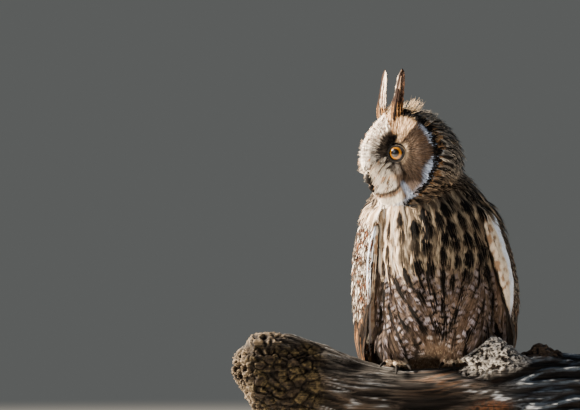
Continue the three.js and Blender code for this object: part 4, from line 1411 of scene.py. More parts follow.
def coat_of_legs():
    """Hair-like down of the legs and toes."""
    places, _ = scatter(np.char.startswith(FACE_OWNER, "leg"), spacing=1.7, seed=61)
    ankles = np.array([[-35.0, -13.0, 0], [13.0, -12.0, 0]])
    ankle = ankles[(places[:, 0] > -10).astype(int)]
    high = smooth(6, 16, places[:, 2])

    def lie_of_leg(points, _normals):
        from_ankle = points - ankle
        from_ankle[:, 2] = -4 - 30 * high
        return from_ankle
    length = 5.6 + 5.0 * high
    path, out = follow(places, lie_of_leg, length, 2)
    own = spread_out(LEG, len(places), np.random.default_rng(62), 0.07)
    return tufts(path, out, length, width=2.2 + 2.2 * high, lift=1.5 + 0.8 * high, locks=4, rows=4,
                 paint=marks(own), seed=63, loose=0.3)


plumage = feather_finish("contour_feather_barbs", barb=0.9, depth=0.25, sheen=0.02)
down = feather_finish("hair_feather_down", barb=0.7, depth=0.15, sheen=0.03)

coat_piece("coat_face", [coat_of_face()], chart_of_head, down, "head")
coat_piece("coat_bristles", coat_of_bristles(), chart_of_head, down, "head")
head_coat = [*coat_of_ruff(), coat_of_crown(), wisps_of_crown()]
coat_piece("coat_head", head_coat, chart_of_head, plumage, "head", "neck")
for name, group in zip(("coat_breast", "coat_front", "coat_back"), coat_of_body()):
    coat_piece(name, [group], chart_of_body, plumage, "trunk", "neck")
coat_piece("coat_wings", [coat_of_wings()], chart_of_wings, plumage, *WING_NODES)
coat_piece("coat_wing_edges", [coat_of_stripe(side) for side, _ in SIDES], chart_of_wings, plumage, *WING_NODES)
coat_piece("coat_legs", [coat_of_legs()], chart_of_body, down, "leg_left", "leg_right")


# Long feathers with a shaft and two webs. Bars are counted along a feather.

PRIMARY = look("#120d0a", "#a87d4e", dark="#4d3827", bars=7.0, barring=0.8, streak_root=0.1, streak_tip=0.06,
               edging=0.8, tip="#3c3026", tipping=0.2, flecks=0.3)
EDGE_QUILL = look("#0d0907", "#4a2f1a", dark="#080504", bars=5.0, barring=0.4, streak_root=0.2, streak_tip=0.14,
                  edging=0.7, tipping=0.0, flecks=0.3)
SECONDARY = look("#473728", "#6b5238", dark="#140f0b", bars=7.0, barring=1.0, streak_root=0.1, streak_tip=0.08,
                 edging=0.3, tip="#8c7a68", tipping=0.5, flecks=0.8)
TERTIAL = look("#6b543f", "#85694c", dark="#1f1711", bars=7.0, barring=0.75, streak_root=0.08, streak_tip=0.07,
               edging=0.6, spots=0.3, tipping=0.3, flecks=0.7)
SCAPULAR = look("#64503c", "#9c7b56", dark="#17110d", streak_root=0.16, streak_tip=0.24, bars=5.0, barring=0.6,
                spots=0.7, spot_at=0.66, tipping=0.3, flecks=0.7)
TAIL = look("#8d6f4c", "#9c8160", dark="#2a1e16", bars=7.0, barring=0.85, streak_root=0.05, streak_tip=0.04,
            edging=0.4, tip="#7d6b58", tipping=0.6, flecks=0.5)
TAIL_FROM_BELOW = look("#c2a684", "#cdb697", dark="#6b543f", bars=8.0, barring=0.7, streak_root=0.03,
                       streak_tip=0.02)


def vanes(path, out, length, width, paint, seed, columns=9, rows=20, lift=1.0, outer_web=0.5, blunt=0.72,
          foot=0.4, arch=0.07, thick=0.45, fray=0.05, sunk=0.0, under=0.06):
    """Feathers as closed thin blades with a raised shaft.

    outer_web is the share of the width before the shaft, blunt the share of the length where the tip begins,
    foot the share of the width at the root, fray how ragged the edges are, sunk how far the root lies under
    the coat, and under how much paler the far face is.
    """
    rng = np.random.default_rng(seed)
    n = len(path)
    half = (columns - 1) // 2
    webs = np.concatenate([np.linspace(-1, -0.07, half), [0.0], np.linspace(0.07, 1, half)])
    own = (np.linspace(0, 1, rows + 1) ** 0.9)[None, None, :, None]
    j = np.broadcast_to(webs, (n, 1, rows + 1, len(webs)))
    t = np.clip(own + 0.05 * np.abs(j) * (1 - own) * smooth(0, 0.3, own), 0, 1)
    taper = foot + (1 - foot) * smooth(0, 0.35, own)
    tip = np.sqrt(np.clip(1 - np.clip((own - blunt) / (1 - blunt), 0, 1) ** 2.4, 0, 1))
    share = np.where(j < 0, 2 * outer_web, 2 * (1 - outer_web))
    ragged = 1 - fray * rng.random(j.shape) * (np.abs(j) > 0.8)
    width, lift, length = (column(value, n)[..., None] for value in (width, lift, length))
    sideways = j * share * width / 2 * taper * np.maximum(tip, 0.02) * ragged
    normal = unit(along(out, t))
    side = unit(np.cross(unit(along(np.gradient(path, axis=1), t)), normal))
    height = lift * smooth(-0.1, 0.35, t) - arch * width * j ** 2 * taper * tip + 0.3 * (np.abs(j) < 0.05)
    height = height - sunk * smooth(0.3, 0.0, t) + rng.normal(0, 0.25, (n, 1, 1, 1)) * t
    face = along(path, t) + side * sideways[..., None] + normal * height[..., None]

    def round_blade(front, back):
        return np.concatenate([front, back[:, :, :, ::-1], front[:, :, :, :1]], 3)
    points = round_blade(face, face - normal * thick)
    j, t = round_blade(j, j), round_blade(t, t)
    colours = paint(j, t, points) * (1 + rng.normal(0, 0.05, (n, 1, 1, 1, 1)))
    colours[:, :, :, columns:-1] = colours[:, :, :, columns:-1] * 0.7 + under * CREAM
    vane = np.stack([j * width / 2, t * length + rng.uniform(0, 60, (n, 1, 1, 1))], -1)
    round_it = np.linspace(0, 1, j.shape[3])
    patch = np.stack([np.broadcast_to(round_it, j.shape), np.broadcast_to(own, j.shape)], -1)
    index = np.arange(j.size).reshape(j.shape)
    quads = np.stack([index[..., :-1, :-1], index[..., :-1, 1:], index[..., 1:, 1:], index[..., 1:, :-1]], -1)
    return {"points": points.reshape(-1, 3), "quads": quads.reshape(-1, 4), "colours": colours.reshape(-1, 3),
            "vane": vane.reshape(-1, 2), "patch": patch.reshape(n, -1, 2)}


def speckled(base_paint):
    """Adds the fine wavy flecks that owls have between their bars."""
    def paint(j, t, points):
        spots = patches(points.reshape(-1, 3) * [1, 1, 1.7], 2.4, 9).reshape(j.shape)
        light = np.clip(spots * 3.0, -1, 1)[..., None]
        return base_paint(j, t, points) * (1 + 0.5 * light) + 0.03 * np.maximum(light, 0) * BUFF
    return paint


def hemmed(base_paint, hem):
    """Adds a narrow light hem near both edges of a long feather, broken up along it."""
    def paint(j, t, points):
        dashes = smooth(-0.75, -0.1, np.sin(t * 19 + 4 * np.sin(points[..., 0] * 0.9)))
        return mix(base_paint(j, t, points), hem, 0.9 * bell(np.abs(j), 0.84, 0.08) * dashes)
    return paint


def wing_tracks(side, z_root, across_root, z_tip, across_tip):
    """Paths down the outside of a folded wing."""
    t = np.linspace(0, 1, 11)[None, :]
    z = z_root[:, None] + (z_tip - z_root)[:, None] * t
    across = across_root[:, None] + (across_tip - across_root)[:, None] * smooth(0, 1, t)
    place, outward = wing_surface(z.ravel(), across.ravel(), side)
    snapped, _ = form.nearest(place + 2.5 * outward)
    place = 0.5 * place + 0.5 * (snapped + 1.5 * outward)
    return place.reshape(*z.shape, 3), outward.reshape(*z.shape, 3)


def feather_row(kind, side, seed, count, z_root, z_tip, across, width, lift, across_tip=None, edges=(),
                hem=None, bar_pitch=13.0, **shape):
    """A row of long feathers of one kind on one wing, from its leading edge backwards.

    Each range is run through along the row. edges are the colours of the feathers' edges, in turn, hem the
    colour of a hem, and bar_pitch the distance from bar to bar in mm.
    """
    rng = np.random.default_rng(seed)
    share = np.linspace(0, 1, count)

    def run(ends):
        return np.interp(share, np.linspace(0, 1, len(ends)), ends)
    z_root, z_tip = run(z_root) + rng.normal(0, 0.8, count), run(z_tip) + rng.normal(0, 1.2, count)
    path, out = wing_tracks(side, z_root, run(across), z_tip, run(across_tip or across))
    own = spread_out(kind, count, rng, 0.06)
    own["phase"] = rng.normal(0.1, 0.04, count)
    length = np.abs(z_root - z_tip)
    own["bars"] = length / bar_pitch
    if edges:
        own["edge"] = np.array([linear(edges[i % len(edges)]) for i in range(count)])
    paint = speckled(marks(own))
    if hem:
        paint = hemmed(paint, hem)
    return vanes(path, out, length, run(width), lambda j, t, points: paint(side * j, t, points), seed,
                 lift=run(lift), sunk=3.6, **shape)


# Colours of the long feathers that differ from wing to wing are painted light and shade: the sun reaches the
# bird's right one.
WING_TONES_LIT_AND_SHADED = {
    1: {"primaries": ("#050404", "#18110b", "#080606"),
        "edge quills": ("#0a0706", "#24190f"), "hem": "#2b2018"},
    -1: {"primaries": ("#070504", "#4a311a", "#0b0807", "#1f150e", "#080605", "#50351c"),
         "edge quills": ("#0a0706", "#5b3c20", "#120c08", "#83592e"), "hem": "#7a552d"},
}


def feathers_of_wing(side, seed):
    """Primaries, the inner ones behind them, edge quills, secondaries, tertials and scapulars of one wing."""
    tones = WING_TONES_LIT_AND_SHADED[side]
    web = {1: 0.66, -1: 0.34}[side]
    return [
        feather_row(PRIMARY, side, seed, 12, z_root=(60, 48), across=(0.05, 0.55), across_tip=(0.25, 0.55),
                    z_tip=(-92, -106, -112, -112, -108, -98, -84, -70, -56, -44, -34, -26), width=(9, 17),
                    lift=(0.2, 2.4), edges=tones["primaries"], outer_web=web, rows=40, columns=13, blunt=0.75,
                    arch=0.12),
        feather_row(PRIMARY, side, seed + 7, 7, z_root=(40, 36), z_tip=(-113, -110), across=(0.45, 1.0),
                    width=(13, 13), lift=(0.8, 1.6), edges=("#2b1f16", "#3d2c1e", "#241910"), outer_web=web,
                    rows=40, blunt=0.86, arch=0.1),
        feather_row(EDGE_QUILL, side, seed + 9, 8, z_root=(66, 46), z_tip=(2, -22), across=(0.0, 0.14),
                    width=(9, 11), lift=(2.6, 1.4), edges=tones["edge quills"], outer_web=web, rows=26,
                    blunt=0.7),
        feather_row(SECONDARY, side, seed + 1, 10, z_root=(56, 64), z_tip=(-22, -40, -46, -40),
                    across=(0.5, 0.95), across_tip=(0.6, 0.95), width=(18, 22), lift=(2.3, 3.6),
                    hem=tones["hem"], outer_web=web, rows=30, blunt=0.75, arch=0.1),
        feather_row(TERTIAL, side, seed + 2, 4, z_root=(92, 104), z_tip=(6, -8), across=(0.78, 0.97),
                    width=(23, 25), lift=(4.0, 5.0), rows=28, blunt=0.7),
        feather_row(SCAPULAR, side, seed + 5, 9, z_root=(146, 92), z_tip=(104, 40), across=(0.7, 0.96),
                    width=(19, 22), lift=(4.4, 6.0), bar_pitch=12.0, rows=18, blunt=0.6, columns=11),
    ]


def feathers_of_tail():
    """Twelve tail feathers, the middle pair uppermost, and the same from below, paler."""
    count, length, steps = 12, 114.0, 10
    root, tip = 16, -98
    rng = np.random.default_rng(81)
    share = np.linspace(-1, 1, count)
    order = 1 - np.abs(share)
    t = np.linspace(0, 1, steps + 1)[None, :]
    z = root + (tip - root - 6 * order)[:, None] * t
    x = share[:, None] * (13 + 8 * smooth(0, 0.7, t) - 3 * smooth(0.8, 1, t))

    def on_skin(y, reach):
        snapped, _ = form.nearest(np.stack([x, y, z], -1).reshape(-1, 3) + [0, reach, 0])
        return snapped[:, 1].reshape(x.shape)
    top_y = on_skin(np.full_like(x, 60.0), 4)
    under_y = on_skin(top_y, -12)
    top, below = (np.stack([x, y, z], -1) for y in (top_y, under_y))
    out = unit(np.broadcast_to([0, 1.0, 0], top.shape) + np.array([0.25, 0, 0]) * share[:, None, None])
    own = spread_out(TAIL, count, rng, 0.05)
    own["phase"] = rng.normal(0.1, 0.03, count)
    own["bars"] = np.full(count, 8.0)
    pale = spread_out(TAIL_FROM_BELOW, count, rng, 0.04)
    pale["phase"] = own["phase"]
    return [
        vanes(top, out, length, 19.0, speckled(marks(own)), 82, lift=0.4 + 2.6 * order, rows=36, blunt=0.86,
              arch=0.03),
        vanes(below, -out, length, 18.0, speckled(marks(pale)), 83, lift=0.6 + 1.0 * (1 - order), rows=36,
              blunt=0.86, arch=0.03),
    ]


# The middle line of an ear tuft in the head's frame, and half its width along z in the photo's view.
EAR_PATH = np.array([[13, 27, 221], [14, 25.5, 234], [15, 27.5, 250], [15.5, 30.5, 270]], float)
EAR_WIDTH = {
    1: through([[221, 8.4], [235, 7.6], [244, 5.9], [252, 4.8], [261, 4.0], [267.5, 2.4], [271, 0.8]]),
    -1: through([[221, 6.5], [235, 5.4], [244, 4.4], [252, 3.3], [261, 2.2], [268, 0.8], [271, 0.5]]),
}
EAR_TURN = {1: 0.5, -1: 0.2}
# The feathers of a tuft: place across it, in front or behind, share of the full length, width, lean outwards.
EAR_PLAN = [(-0.6, 0.4, 0.97, 8.0, 0.0), (0.2, 0.1, 1.0, 9.0, 0.1), (1.0, -0.5, 0.93, 7.4, 0.3),
            (-1.2, -0.2, 0.86, 6.4, -0.1), (0.6, -0.9, 0.97, 8.0, 0.1), (-0.3, 0.9, 0.7, 7.8, -0.2),
            (-1.5, 0.2, 0.6, 6.0, -0.6), (1.5, -0.3, 0.66, 6.4, 0.4), (-1.1, 1.3, 0.44, 5.4, -1.0),
            (1.1, 1.3, 0.46, 5.6, 1.0), (0.0, 1.7, 0.5, 6.6, 0.1), (-0.5, 2.0, 0.36, 5.4, -0.4),
            (1.8, -0.8, 0.4, 4.6, 1.8)]
EAR_LENGTH = 50


def ear_paint(side):
    """Bands of dark and light up the tuft, seen from where the near disc faces, and gold at its foot."""
    def paint(j, t, points):
        head = to_head(points)
        z = head[..., 2]
        middle = np.stack([np.interp(z, EAR_PATH[:, 2], EAR_PATH[:, 0] * side),
                           np.interp(z, EAR_PATH[:, 2], EAR_PATH[:, 1])], -1)
        over = ((head[..., :2] - middle) * SEEN_RIGHT).sum(-1) / EAR_WIDTH[side](z.ravel()).reshape(z.shape)
        over = over + 0.08 * np.sin(z * 0.9 + j * 4)
        barb = 0.5 + 0.5 * np.sin(over * 19 + z * 0.35) * np.sin(z * 0.8 + over * 31)
        brown = mix("#271a14", "#100a07", smooth(0.4, 0.85, barb))
        if side > 0:
            colour = mix(brown, "#83624e", 0.85 * smooth(0.65, 0.85, over))
            # painted highlight: the pale left edge near the top, where the sun catches the near tuft
            colour = mix(colour, "#e8d8c6", 0.9 * smooth(-0.62, -0.85, over) * smooth(240, 256, z))
            colour = mix(colour, "#8d6743", 0.6 * smooth(-0.7, -0.95, over) * smooth(250, 236, z))
        else:
            # painted light: the far tuft painted pale cream with rufous bands, as lit by the sun
            colour = mix("#ecdfcd", "#a5683a", 0.7 * smooth(0.5, 0.9, barb))
            colour = mix(colour, brown, smooth(-0.15, -0.45, over))
        golden = mix("#a5794a", "#100b08", smooth(0.75, 0.45, np.abs(j)))
        return mix(colour, golden, smooth(241, 234, z) * (0.5 + 0.5 * smooth(0.5, 0.2, np.abs(over))))
    return paint


def feathers_of_ear(side, seed):
    """A tuft of long dark feathers with pale edges, and golden black-centred ones at its foot."""
    t = np.linspace(0, 1, 9)
    curve = through(np.column_stack([np.linspace(0, 1, 4), EAR_PATH]))(t) * [side, 1, 1]
    curve_at = through(np.column_stack([t, curve]))
    turn = EAR_TURN[side]
    across = np.array([math.cos(turn), math.sin(turn), 0])
    facing = np.array([math.sin(turn), -math.cos(turn), 0])
    path = []
    for place, ahead, share, _, lean_out in EAR_PLAN:
        fan_out = (place * 3.0 * (1 - 0.7 * t * share) + lean_out * (t * share) ** 1.5)[:, None]
        forward = (ahead * 1.7 * (1 - 0.5 * t))[:, None]
        path.append(from_head(curve_at(t * share) + side * across * fan_out + facing * forward))
    path = np.array(path)
    out = np.broadcast_to(from_head(facing, place=False), path.shape)
    length, width = [EAR_LENGTH * row[2] for row in EAR_PLAN], [row[3] for row in EAR_PLAN]
    return vanes(path, out, length, width, ear_paint(side), seed, lift=0.2, columns=11, blunt=0.62,
                 foot=0.65, thick=0.3, fray=0.3, arch=0.06, under=0.0)


quill = feather_finish("long_feather_webs", barb=1.1, depth=0.3, sheen=0.02)
for side, name in SIDES:
    rows = feathers_of_wing(side, 70 + 10 * side)
    vane_piece(f"quills_{name}", rows, quill, f"wing_{name}", f"wing_quills_{name}")
vane_piece("quills_tail", feathers_of_tail(), quill, "tail")
for side, name in SIDES:
    vane_piece(f"ear_feathers_{name}", [feathers_of_ear(side, 90 + side)], quill, f"ear_tuft_{name}")


# Eyes

def wet_eye():
    """A wet cornea over an amber iris: the clear coat gives the sharp glint, the iris its fine spokes."""
    material, tree = open_finish("wet_amber_eye")
    tone = node(tree, "ShaderNodeAttribute", attribute_name="Plumage")
    surface = node(tree, "ShaderNodeBsdfPrincipled", {
        "Base Color": tone, "Roughness": 0.25, "IOR": 1.376, "Coat Weight": 0.6, "Coat Roughness": 0.02,
        "Coat IOR": 1.376,
    })
    node(tree, "ShaderNodeOutputMaterial", {"Surface": surface})
    return material


def eye_piece(side, name, material):
    """An eyeball with a bulging cornea, black pupil, amber iris and black rim."""
    centre, ahead, right, up = eye_frame(side)
    rings, around = 90, 120
    off = np.linspace(0, 1, rings) ** 0.8 * math.radians(150)
    turn = np.linspace(0, 2 * math.pi, around, endpoint=False)
    radius = EYE_RADIUS - 0.15 + 0.75 * smooth(math.radians(46), math.radians(12), off)
    spread = np.cos(turn)[:, None] * right + np.sin(turn)[:, None] * up
    off_column = off[:, None, None]
    points = centre + radius[:, None, None] * (np.cos(off_column) * ahead + np.sin(off_column) * spread[None])
    degrees = np.degrees(off)[:, None]
    spokes = (0.5 + 0.5 * np.sin(turn * 47 + 2 * np.sin(turn * 13)) * np.sin(turn * 29 + 1))[None]
    colour = mix("#9c620a", "#cf9015", 0.5 * spokes * bell(degrees, 29, 5))
    rusty = smooth(31, 35.5, degrees) * 0.85 + 0.5 * smooth(24, 20, degrees) + 0.2 * (1 - spokes)
    colour = lay(colour, "#522e05", rusty)
    colour = mix(colour, "#050404", smooth(22.2, 21.0, degrees))
    colour = mix(colour, "#0d0a09", smooth(35.2, 36.8, degrees))
    index = np.arange(rings * around).reshape(rings, around)
    beside = np.roll(index, -1, axis=1)
    quads = np.stack([index[:-1], beside[:-1], beside[1:], index[1:]], -1).reshape(-1, 4)
    piece = quad_object(f"eyeball_{name}", points.reshape(-1, 3), quads[:, ::-1], material,
                        colour.reshape(-1, 3))
    finished(piece, "eye", f"eye_{name}")


wet = wet_eye()
for side, name in SIDES:
    eye_piece(side, name, wet)


# Bill and claws

def keratin():
    """Horn of the bill and claws: nearly black, half gloss, with faint growth lines."""
    material, tree = open_finish("black_keratin")
    place = node(tree, "ShaderNodeTexCoord")
    lines = node(tree, "ShaderNodeTexNoise", {"Vector": place.outputs["Object"], "Scale": 700.0, "Detail": 4.0})
    tone = node(tree, "ShaderNodeValToRGB", {"Fac": lines})
    for stop, colour, position in zip(tone.color_ramp.elements, ("#080706", "#1f1c1a"), (0.35, 0.9)):
        stop.color = (*linear(colour), 1)
        stop.position = position
    bump = node(tree, "ShaderNodeBump", {"Height": lines, "Strength": 0.25, "Distance": 0.0001})
    surface = node(tree, "ShaderNodeBsdfPrincipled", {
        "Base Color": tone, "Roughness": 0.6, "IOR": 1.54, "Specular IOR Level": 0.05, "Normal": bump,
    })
    node(tree, "ShaderNodeOutputMaterial", {"Surface": surface})
    return material


def horn_piece(name, title, voxel, material):
    """A horny part with its facets rounded off."""
    points, faces, _ = joined([name])
    points, quads = remeshed(points, faces, voxel)
    points = relaxed(points, neighbours(quads), 5)
    finished(quad_object(title, points, quads, material), "horn", name)


horn = keratin()
horn_piece("bill_upper", "bill_top", 0.4, horn)
horn_piece("bill_lower", "bill_bottom", 0.4, horn)
for _, foot in SIDES:
    for toe in ("inner", "middle", "outer", "hind"):
        horn_piece(f"claw_{foot}_{toe}", f"talon_{foot}_{toe}", 0.3, horn)


# The branch

# Along x: height of the branch's top and its half height, as in the solid.
branch_at = through([
    [-184, 8, 10], [-176, 26, 30], [-166, 31, 36], [-140, 31, 40], [-105, 21, 41], [-70, 7, 39], [-38, -1, 37],
    [6, 0, 37], [40, 4, 38], [76, 11, 41], [104, 13, 41], [138, 10, 39],
])
BRANCH_Y = -21.5

# Along x: the height that the knob rises to, so that it ends in a peak.
knob_crest = through([
    [7, -1], [18, 5], [31, 13], [44, 23], [51.5, 31], [58, 27.5], [65, 25], [70, 17], [76, 10],
])


def fibres(points, stretch, fine, seed):
    """Ridged noise drawn out along the branch: 1 on a ridge, 0 in a groove."""
    top, half = branch_at(points[:, 0]).T
    y, z = points[:, 1] - BRANCH_Y, points[:, 2] - (top - half)
    turn = points[:, 0] / 420 + 0.22 * patches(points, 60, seed)
    wound = np.stack([points[:, 0] / stretch, (y * np.cos(turn) - z * np.sin(turn)) / fine,
                      (y * np.sin(turn) + z * np.cos(turn)) / fine], 1)
    return 1 - np.abs(patches(wound, 1.0, seed + 1)) * 2.4


def cracks(points, size, seed):
    """Distance to the nearest crack between cells of this size: 0 in a crack."""
    shift = Vector((seed, seed * 2.1, -seed))
    gaps = []
    for p in points:
        distance, _ = noise.voronoi(Vector(p) / size + shift)
        gaps.append(distance[1] - distance[0])
    return np.clip(np.array(gaps) * 2.2, 0, 1)


def weathered_wood():
    """Bare sun-bleached wood: silvery fibres, dark checks between them, no gloss."""
    material, tree = open_finish("weathered_wood")
    tone = node(tree, "ShaderNodeAttribute", attribute_name="Plumage")
    place = node(tree, "ShaderNodeTexCoord")
    drawn = node(tree, "ShaderNodeMapping", {"Vector": place.outputs["Object"], "Scale": (30.0, 800.0, 800.0)})
    fibre = node(tree, "ShaderNodeTexNoise", {"Vector": drawn, "Scale": 1.0, "Detail": 4.0, "Roughness": 0.65})
    shade = node(tree, "ShaderNodeMapRange", {"Value": fibre, "From Min": 0.4, "From Max": 0.6,
                                              "To Min": 0.15, "To Max": 0.95})
    colour = node(tree, "ShaderNodeVectorMath", {0: tone, 1: shade}, operation="MULTIPLY")
    bump = node(tree, "ShaderNodeBump", {"Height": fibre, "Strength": 0.6, "Distance": 0.0006})
    surface = node(tree, "ShaderNodeBsdfPrincipled", {
        "Base Color": colour, "Roughness": 0.86, "IOR": 1.5, "Specular IOR Level": 0.12, "Normal": bump,
    })
    node(tree, "ShaderNodeOutputMaterial", {"Surface": surface})
    return material


def ball(points, centre, half):
    """Distance from the middle of an egg-shaped lump, 1 at its surface."""
    x, y, z = ((points[:, k] - centre[k]) / half[k] for k in range(3))
    return np.sqrt(x ** 2 + y ** 2 + z ** 2)


class WoodMap:
    """The zones of the branch, from 0 to 1, and its grain, crags and cracks, at points of its surface."""

    def __init__(self, points, normals):
        self.points, self.normals = points, normals
        x, z = points[:, 0], points[:, 2]
        self.front = smooth(0.3, -0.4, normals[:, 1])
        self.knob = ball(points, (49, -43, 10), (31, 15, 24))
        self.craggy = (smooth(1.2, 0.95, self.knob)
                       * smooth(-7, 1, z - 0.16 * (x - 49) + 5 * patches(points, 9, 21)))
        self.lumpy = smooth(1.3, 1.0, ball(points, (94, -26, 9), (17, 15, 14)))
        wander = 6 * patches(points, 17, 31) + 3 * patches(points, 6, 32)
        self.hollow = smooth(-98, -112, x + wander) * smooth(26, 17, z + wander * 0.5) * self.front
        end = smooth(-170, -176, x + 0.25 * z + wander)
        crest = smooth(-132, -146, x + wander) * smooth(0.1, 0.5, normals[:, 2]) * smooth(20, 25, z)
        self.broken = np.maximum(end, crest)
        # little grain under the feet, and shallow ropes along the top on the left
        self.calm = 1 - 0.75 * (smooth(-75, -55, x) * smooth(42, 22, x) * smooth(0.1, 0.7, normals[:, 2]))
        self.smooth_band = smooth(0.25, 0.7, normals[:, 2]) * smooth(-20, -50, x)
        self.ropes = fibres(points, 75, 10.5, 1)
        self.strands = fibres(points, 46, 3.6, 2)
        lumps = np.abs(patches(points * [1.3, 1, 0.7], 6.5, 5))
        self.crag = 0.8 - 2.2 * lumps + 0.5 * patches(points, 2.4, 6)
        self.split = cracks(points * [1, 1, 1.25], 11, 3)
        self.fine_split = cracks(points, 3.6, 4)
        self.pit = smooth(0.25, 0.75, cracks(points * [1, 1, 1.2], 3.1, 8))


def carved(at):
    """How deep the wood is carved away at each point, in mm."""
    z = at.points[:, 2]
    groove = 3.6 * (1 - smooth(0.0, 0.9, at.ropes)) * (1 - 0.6 * at.smooth_band)
    rough = np.maximum(at.craggy, at.lumpy)
    grain = (groove + 1.2 * (1 - smooth(0.0, 0.9, at.strands))) * at.calm
    depth = grain * (1 - 0.8 * rough) * (1 - 0.7 * at.hollow)
    cracked = 3.2 * (1 - smooth(0, 0.4, at.split))
    depth += at.hollow * (3.0 + cracked + 0.9 * (1 - smooth(0, 0.4, at.fine_split)) - 1.6 * at.crag)
    depth += at.craggy * (2.4 * at.pit - 2.0 * at.crag) + at.lumpy * (-2.2 * at.crag)
    depth += smooth(2.0, -8.0, z) * smooth(1.25, 1.0, at.knob) * 3.0
    return depth + at.broken * (0.8 - 2.2 * at.crag)


def grain_colour(at):
    """Grey wood, bluish right, brown left and below, with painted shade in its grooves and painted highlights
    on its ridges.
    """
    x, z = at.points[:, 0], at.points[:, 2]
    colour = mix("#5c5a57", "#3c4a5a", smooth(45, 85, x) * 0.9)
    below = 0.35 + 0.65 * smooth(0.5, 0.0, at.normals[:, 2])
    colour = mix(colour, "#43392f", smooth(-30, -80, x) * below)
    colour = mix(colour, "#271d15", bell(x, -10, 75) * smooth(-8, -22, z) * at.front * 0.95)
    # painted shade in the grooves between the ropes of the grain and between its strands
    groove = 0.95 * (1 - smooth(0.15, 0.5, at.ropes)) * at.calm * (1 - 0.75 * at.smooth_band)
    colour = mix(colour, "#100d0b", groove)
    colour = mix(colour, "#15110e", 0.8 * (1 - smooth(0.1, 0.6, at.strands)))
    # painted highlights on the ridges, stronger towards the right
    ridge = smooth(0.75, 0.97, at.ropes) * smooth(0.5, 0.95, at.strands)
    colour = mix(colour, "#d3dae2", 0.8 * ridge * smooth(10, 60, x) + 0.35 * ridge)
    ochre = bell(x, 8, 30) * bell(z, -9, 9) * at.front * smooth(0.3, 0.9, at.strands)
    return mix(colour, "#6b4826", 0.8 * ochre)


def hollow_colour(colour, at):
    """Moss and lichen in the cracked hollow, and the raw broken wood above it, darker in painted shade where it
    sinks.
    """
    moss = np.clip(1.2 * at.hollow, 0, 1)
    lichen = smooth(0.05, 0.5, patches(at.points, 9, 12) + 0.5 * at.crag)
    colour = mix(colour, mix("#2a2219", "#52472f", 0.8 * lichen), moss)
    crack = np.maximum(1 - smooth(0.03, 0.3, at.split), 0.7 * (1 - smooth(0.03, 0.3, at.fine_split)))
    colour = mix(colour, "#090706", moss * crack)
    # painted shade where the raw broken wood sinks between its crags
    return mix(colour, mix("#6b5e4c", "#120d0a", smooth(0.65, 0.15, at.crag)), 0.95 * at.broken)


def knob_colour(colour, at):
    """The pale burr of the craggy knob with its pits in painted shade, the lump beside it and the bark under
    it.
    """
    x, z = at.points[:, 0], at.points[:, 2]
    # painted highlights on the raised crags of the burr, painted shade between them and black painted shade in
    # its pits
    burr = mix("#f6efe6", "#2a221c", smooth(0.4, -0.1, at.crag))
    burr = mix(burr, "#5d6672", 0.7 * smooth(58, 70, x))
    colour = mix(colour, mix(burr, "#090706", 0.95 * at.pit), at.craggy)
    # painted shade in the hollows of the lump and of the bark
    colour = mix(colour, mix("#4a3c31", "#0f0c0a", smooth(0.2, -0.3, at.crag)), at.lumpy)
    bark = oval(x, z, (46, -37), (17, 8), 10, 0.6) * at.front * (1 - smooth(0.5, 0.9, at.crag))
    return mix(colour, mix("#5d3d29", "#1c120c", smooth(0.1, -0.3, at.crag)), bark)


def sawn_colour(colour, at):
    """The sawn end with its year rings."""
    x, y, z = at.points.T
    top, half = branch_at(x).T
    from_pith = np.hypot(y - BRANCH_Y, z - (top - half))
    rings = 0.5 + 0.5 * np.sin(from_pith * 2.2 + patches(at.points, 18, 14) * 4)
    sawn = smooth(0.8, 0.95, at.normals[:, 0]) * smooth(132, 136, x)
    return mix(colour, mix("#a58a68", "#7d6347", rings), sawn)


def perch_piece():
    """The branch with its ropes of grain, cracked hollow, craggy knobs and broken end."""
    points, faces, _ = joined(["perch"])
    points, quads = remeshed(points, faces, 1.2)
    edges = neighbours(quads)
    points = relaxed(points, edges, 8)
    at = WoodMap(points, normals_of(points, quads))
    moved = points - at.normals * carved(at)[:, None]
    x = points[:, 0]
    peak = knob_crest(x)[:, 0] + 1.6 * at.crag
    on_knob = (at.knob < 1.3) & (x > 9) & (x < 76)
    moved[:, 2] = np.where(on_knob, np.minimum(moved[:, 2], peak), moved[:, 2])
    moved = relaxed(moved, edges, 1, 0.3)
    colour = sawn_colour(knob_colour(hollow_colour(grain_colour(at), at), at), at)
    finished(quad_object("weathered_branch", moved, quads, weathered_wood(), colour), "branch", "perch")


perch_piece()


# The stand keeps its CAD shape

def satin_paint():
    """Sprayed satin paint over a flat plate: dark, even, with a faint orange-peel ripple."""
    material, tree = open_finish("satin_paint")
    place = node(tree, "ShaderNodeTexCoord")
    peel = node(tree, "ShaderNodeTexNoise", {"Vector": place.outputs["Object"], "Scale": 900.0, "Detail": 2.0})
    bump = node(tree, "ShaderNodeBump", {"Height": peel, "Strength": 0.08, "Distance": 0.0002})
    surface = node(tree, "ShaderNodeBsdfPrincipled", {
        "Base Color": "#2e2b29", "Roughness": 0.42, "IOR": 1.5, "Normal": bump,
    })
    node(tree, "ShaderNodeOutputMaterial", {"Surface": surface})
    return material


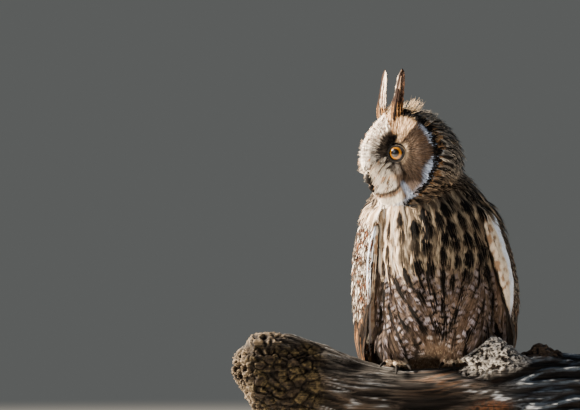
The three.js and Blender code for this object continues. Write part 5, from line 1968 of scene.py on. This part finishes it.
def brushed_steel():
    """Drawn steel rod, brushed round its length: fine rings of scratches in the gloss."""
    material, tree = open_finish("brushed_steel")
    place = node(tree, "ShaderNodeTexCoord")
    drawn = node(tree, "ShaderNodeMapping", {"Vector": place.outputs["Object"], "Scale": (60.0, 60.0, 6000.0)})
    brush = node(tree, "ShaderNodeTexNoise", {"Vector": drawn, "Scale": 1.0, "Detail": 3.0})
    gloss = node(tree, "ShaderNodeMapRange", {"Value": brush, "To Min": 0.22, "To Max": 0.42})
    bump = node(tree, "ShaderNodeBump", {"Height": brush, "Strength": 0.1, "Distance": 0.0001})
    surface = node(tree, "ShaderNodeBsdfPrincipled", {
        "Base Color": "#a7a9ab", "Metallic": 1.0, "Roughness": gloss, "Normal": bump,
    })
    node(tree, "ShaderNodeOutputMaterial", {"Surface": surface})
    return material


paint, steel = satin_paint(), brushed_steel()
for name, material in (("stand_base", paint), ("stand_rod_left", steel), ("stand_rod_right", steel)):
    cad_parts[name].material_slots[0].material = material


# The skin

def under_down():
    """Dry skin and matt down under the coat, mottled by the tufts of the down."""
    material, tree = open_finish("skin_and_under_down")
    tone = node(tree, "ShaderNodeAttribute", attribute_name="Plumage")
    place = node(tree, "ShaderNodeTexCoord")
    fluff = node(tree, "ShaderNodeTexNoise", {"Vector": place.outputs["Object"], "Scale": 900.0, "Detail": 3.0})
    shade = node(tree, "ShaderNodeMapRange", {"Value": fluff, "To Min": 0.6, "To Max": 1.3})
    colour = node(tree, "ShaderNodeVectorMath", {0: tone, 1: shade}, operation="MULTIPLY")
    bump = node(tree, "ShaderNodeBump", {"Height": fluff, "Strength": 0.4, "Distance": 0.0005})
    surface = node(tree, "ShaderNodeBsdfPrincipled", {
        "Base Color": colour, "Roughness": 0.8, "IOR": 1.45, "Normal": bump,
    })
    node(tree, "ShaderNodeOutputMaterial", {"Surface": surface})
    return material


def skin_piece():
    """The skin, toned as the coat above it, and the bare black rims of the lids."""
    name = np.array(FLESH)[vertex_owner]
    tones = np.tile(linear("#6d5540"), (len(name), 1))
    for start, tone in (("leg", "#8d7a66"), ("trunk", "#7d5f45"), ("wing", "#2b2018"), ("tail", "#6b543f")):
        tones[np.char.startswith(name, start)] = linear(tone)
    tones[name == "head"] = face_colour(form.points[name == "head"]) * 0.6
    points, quads, colours = [form.points], [form.quads], [tones]
    for side, _ in SIDES:
        ring, ring_quads, out_from_eye = lid_ring(side)
        quads.append(ring_quads + sum(len(part) for part in points))
        points.append(ring)
        colours.append(mix("#100d0c", face_colour(ring), smooth(0.25, 0.42, out_from_eye)))
    piece = quad_object("skin", *(np.concatenate(parts) for parts in (points, quads)), under_down(),
                        np.concatenate(colours))
    finished(piece, "plumage", *FLESH)


skin_piece()
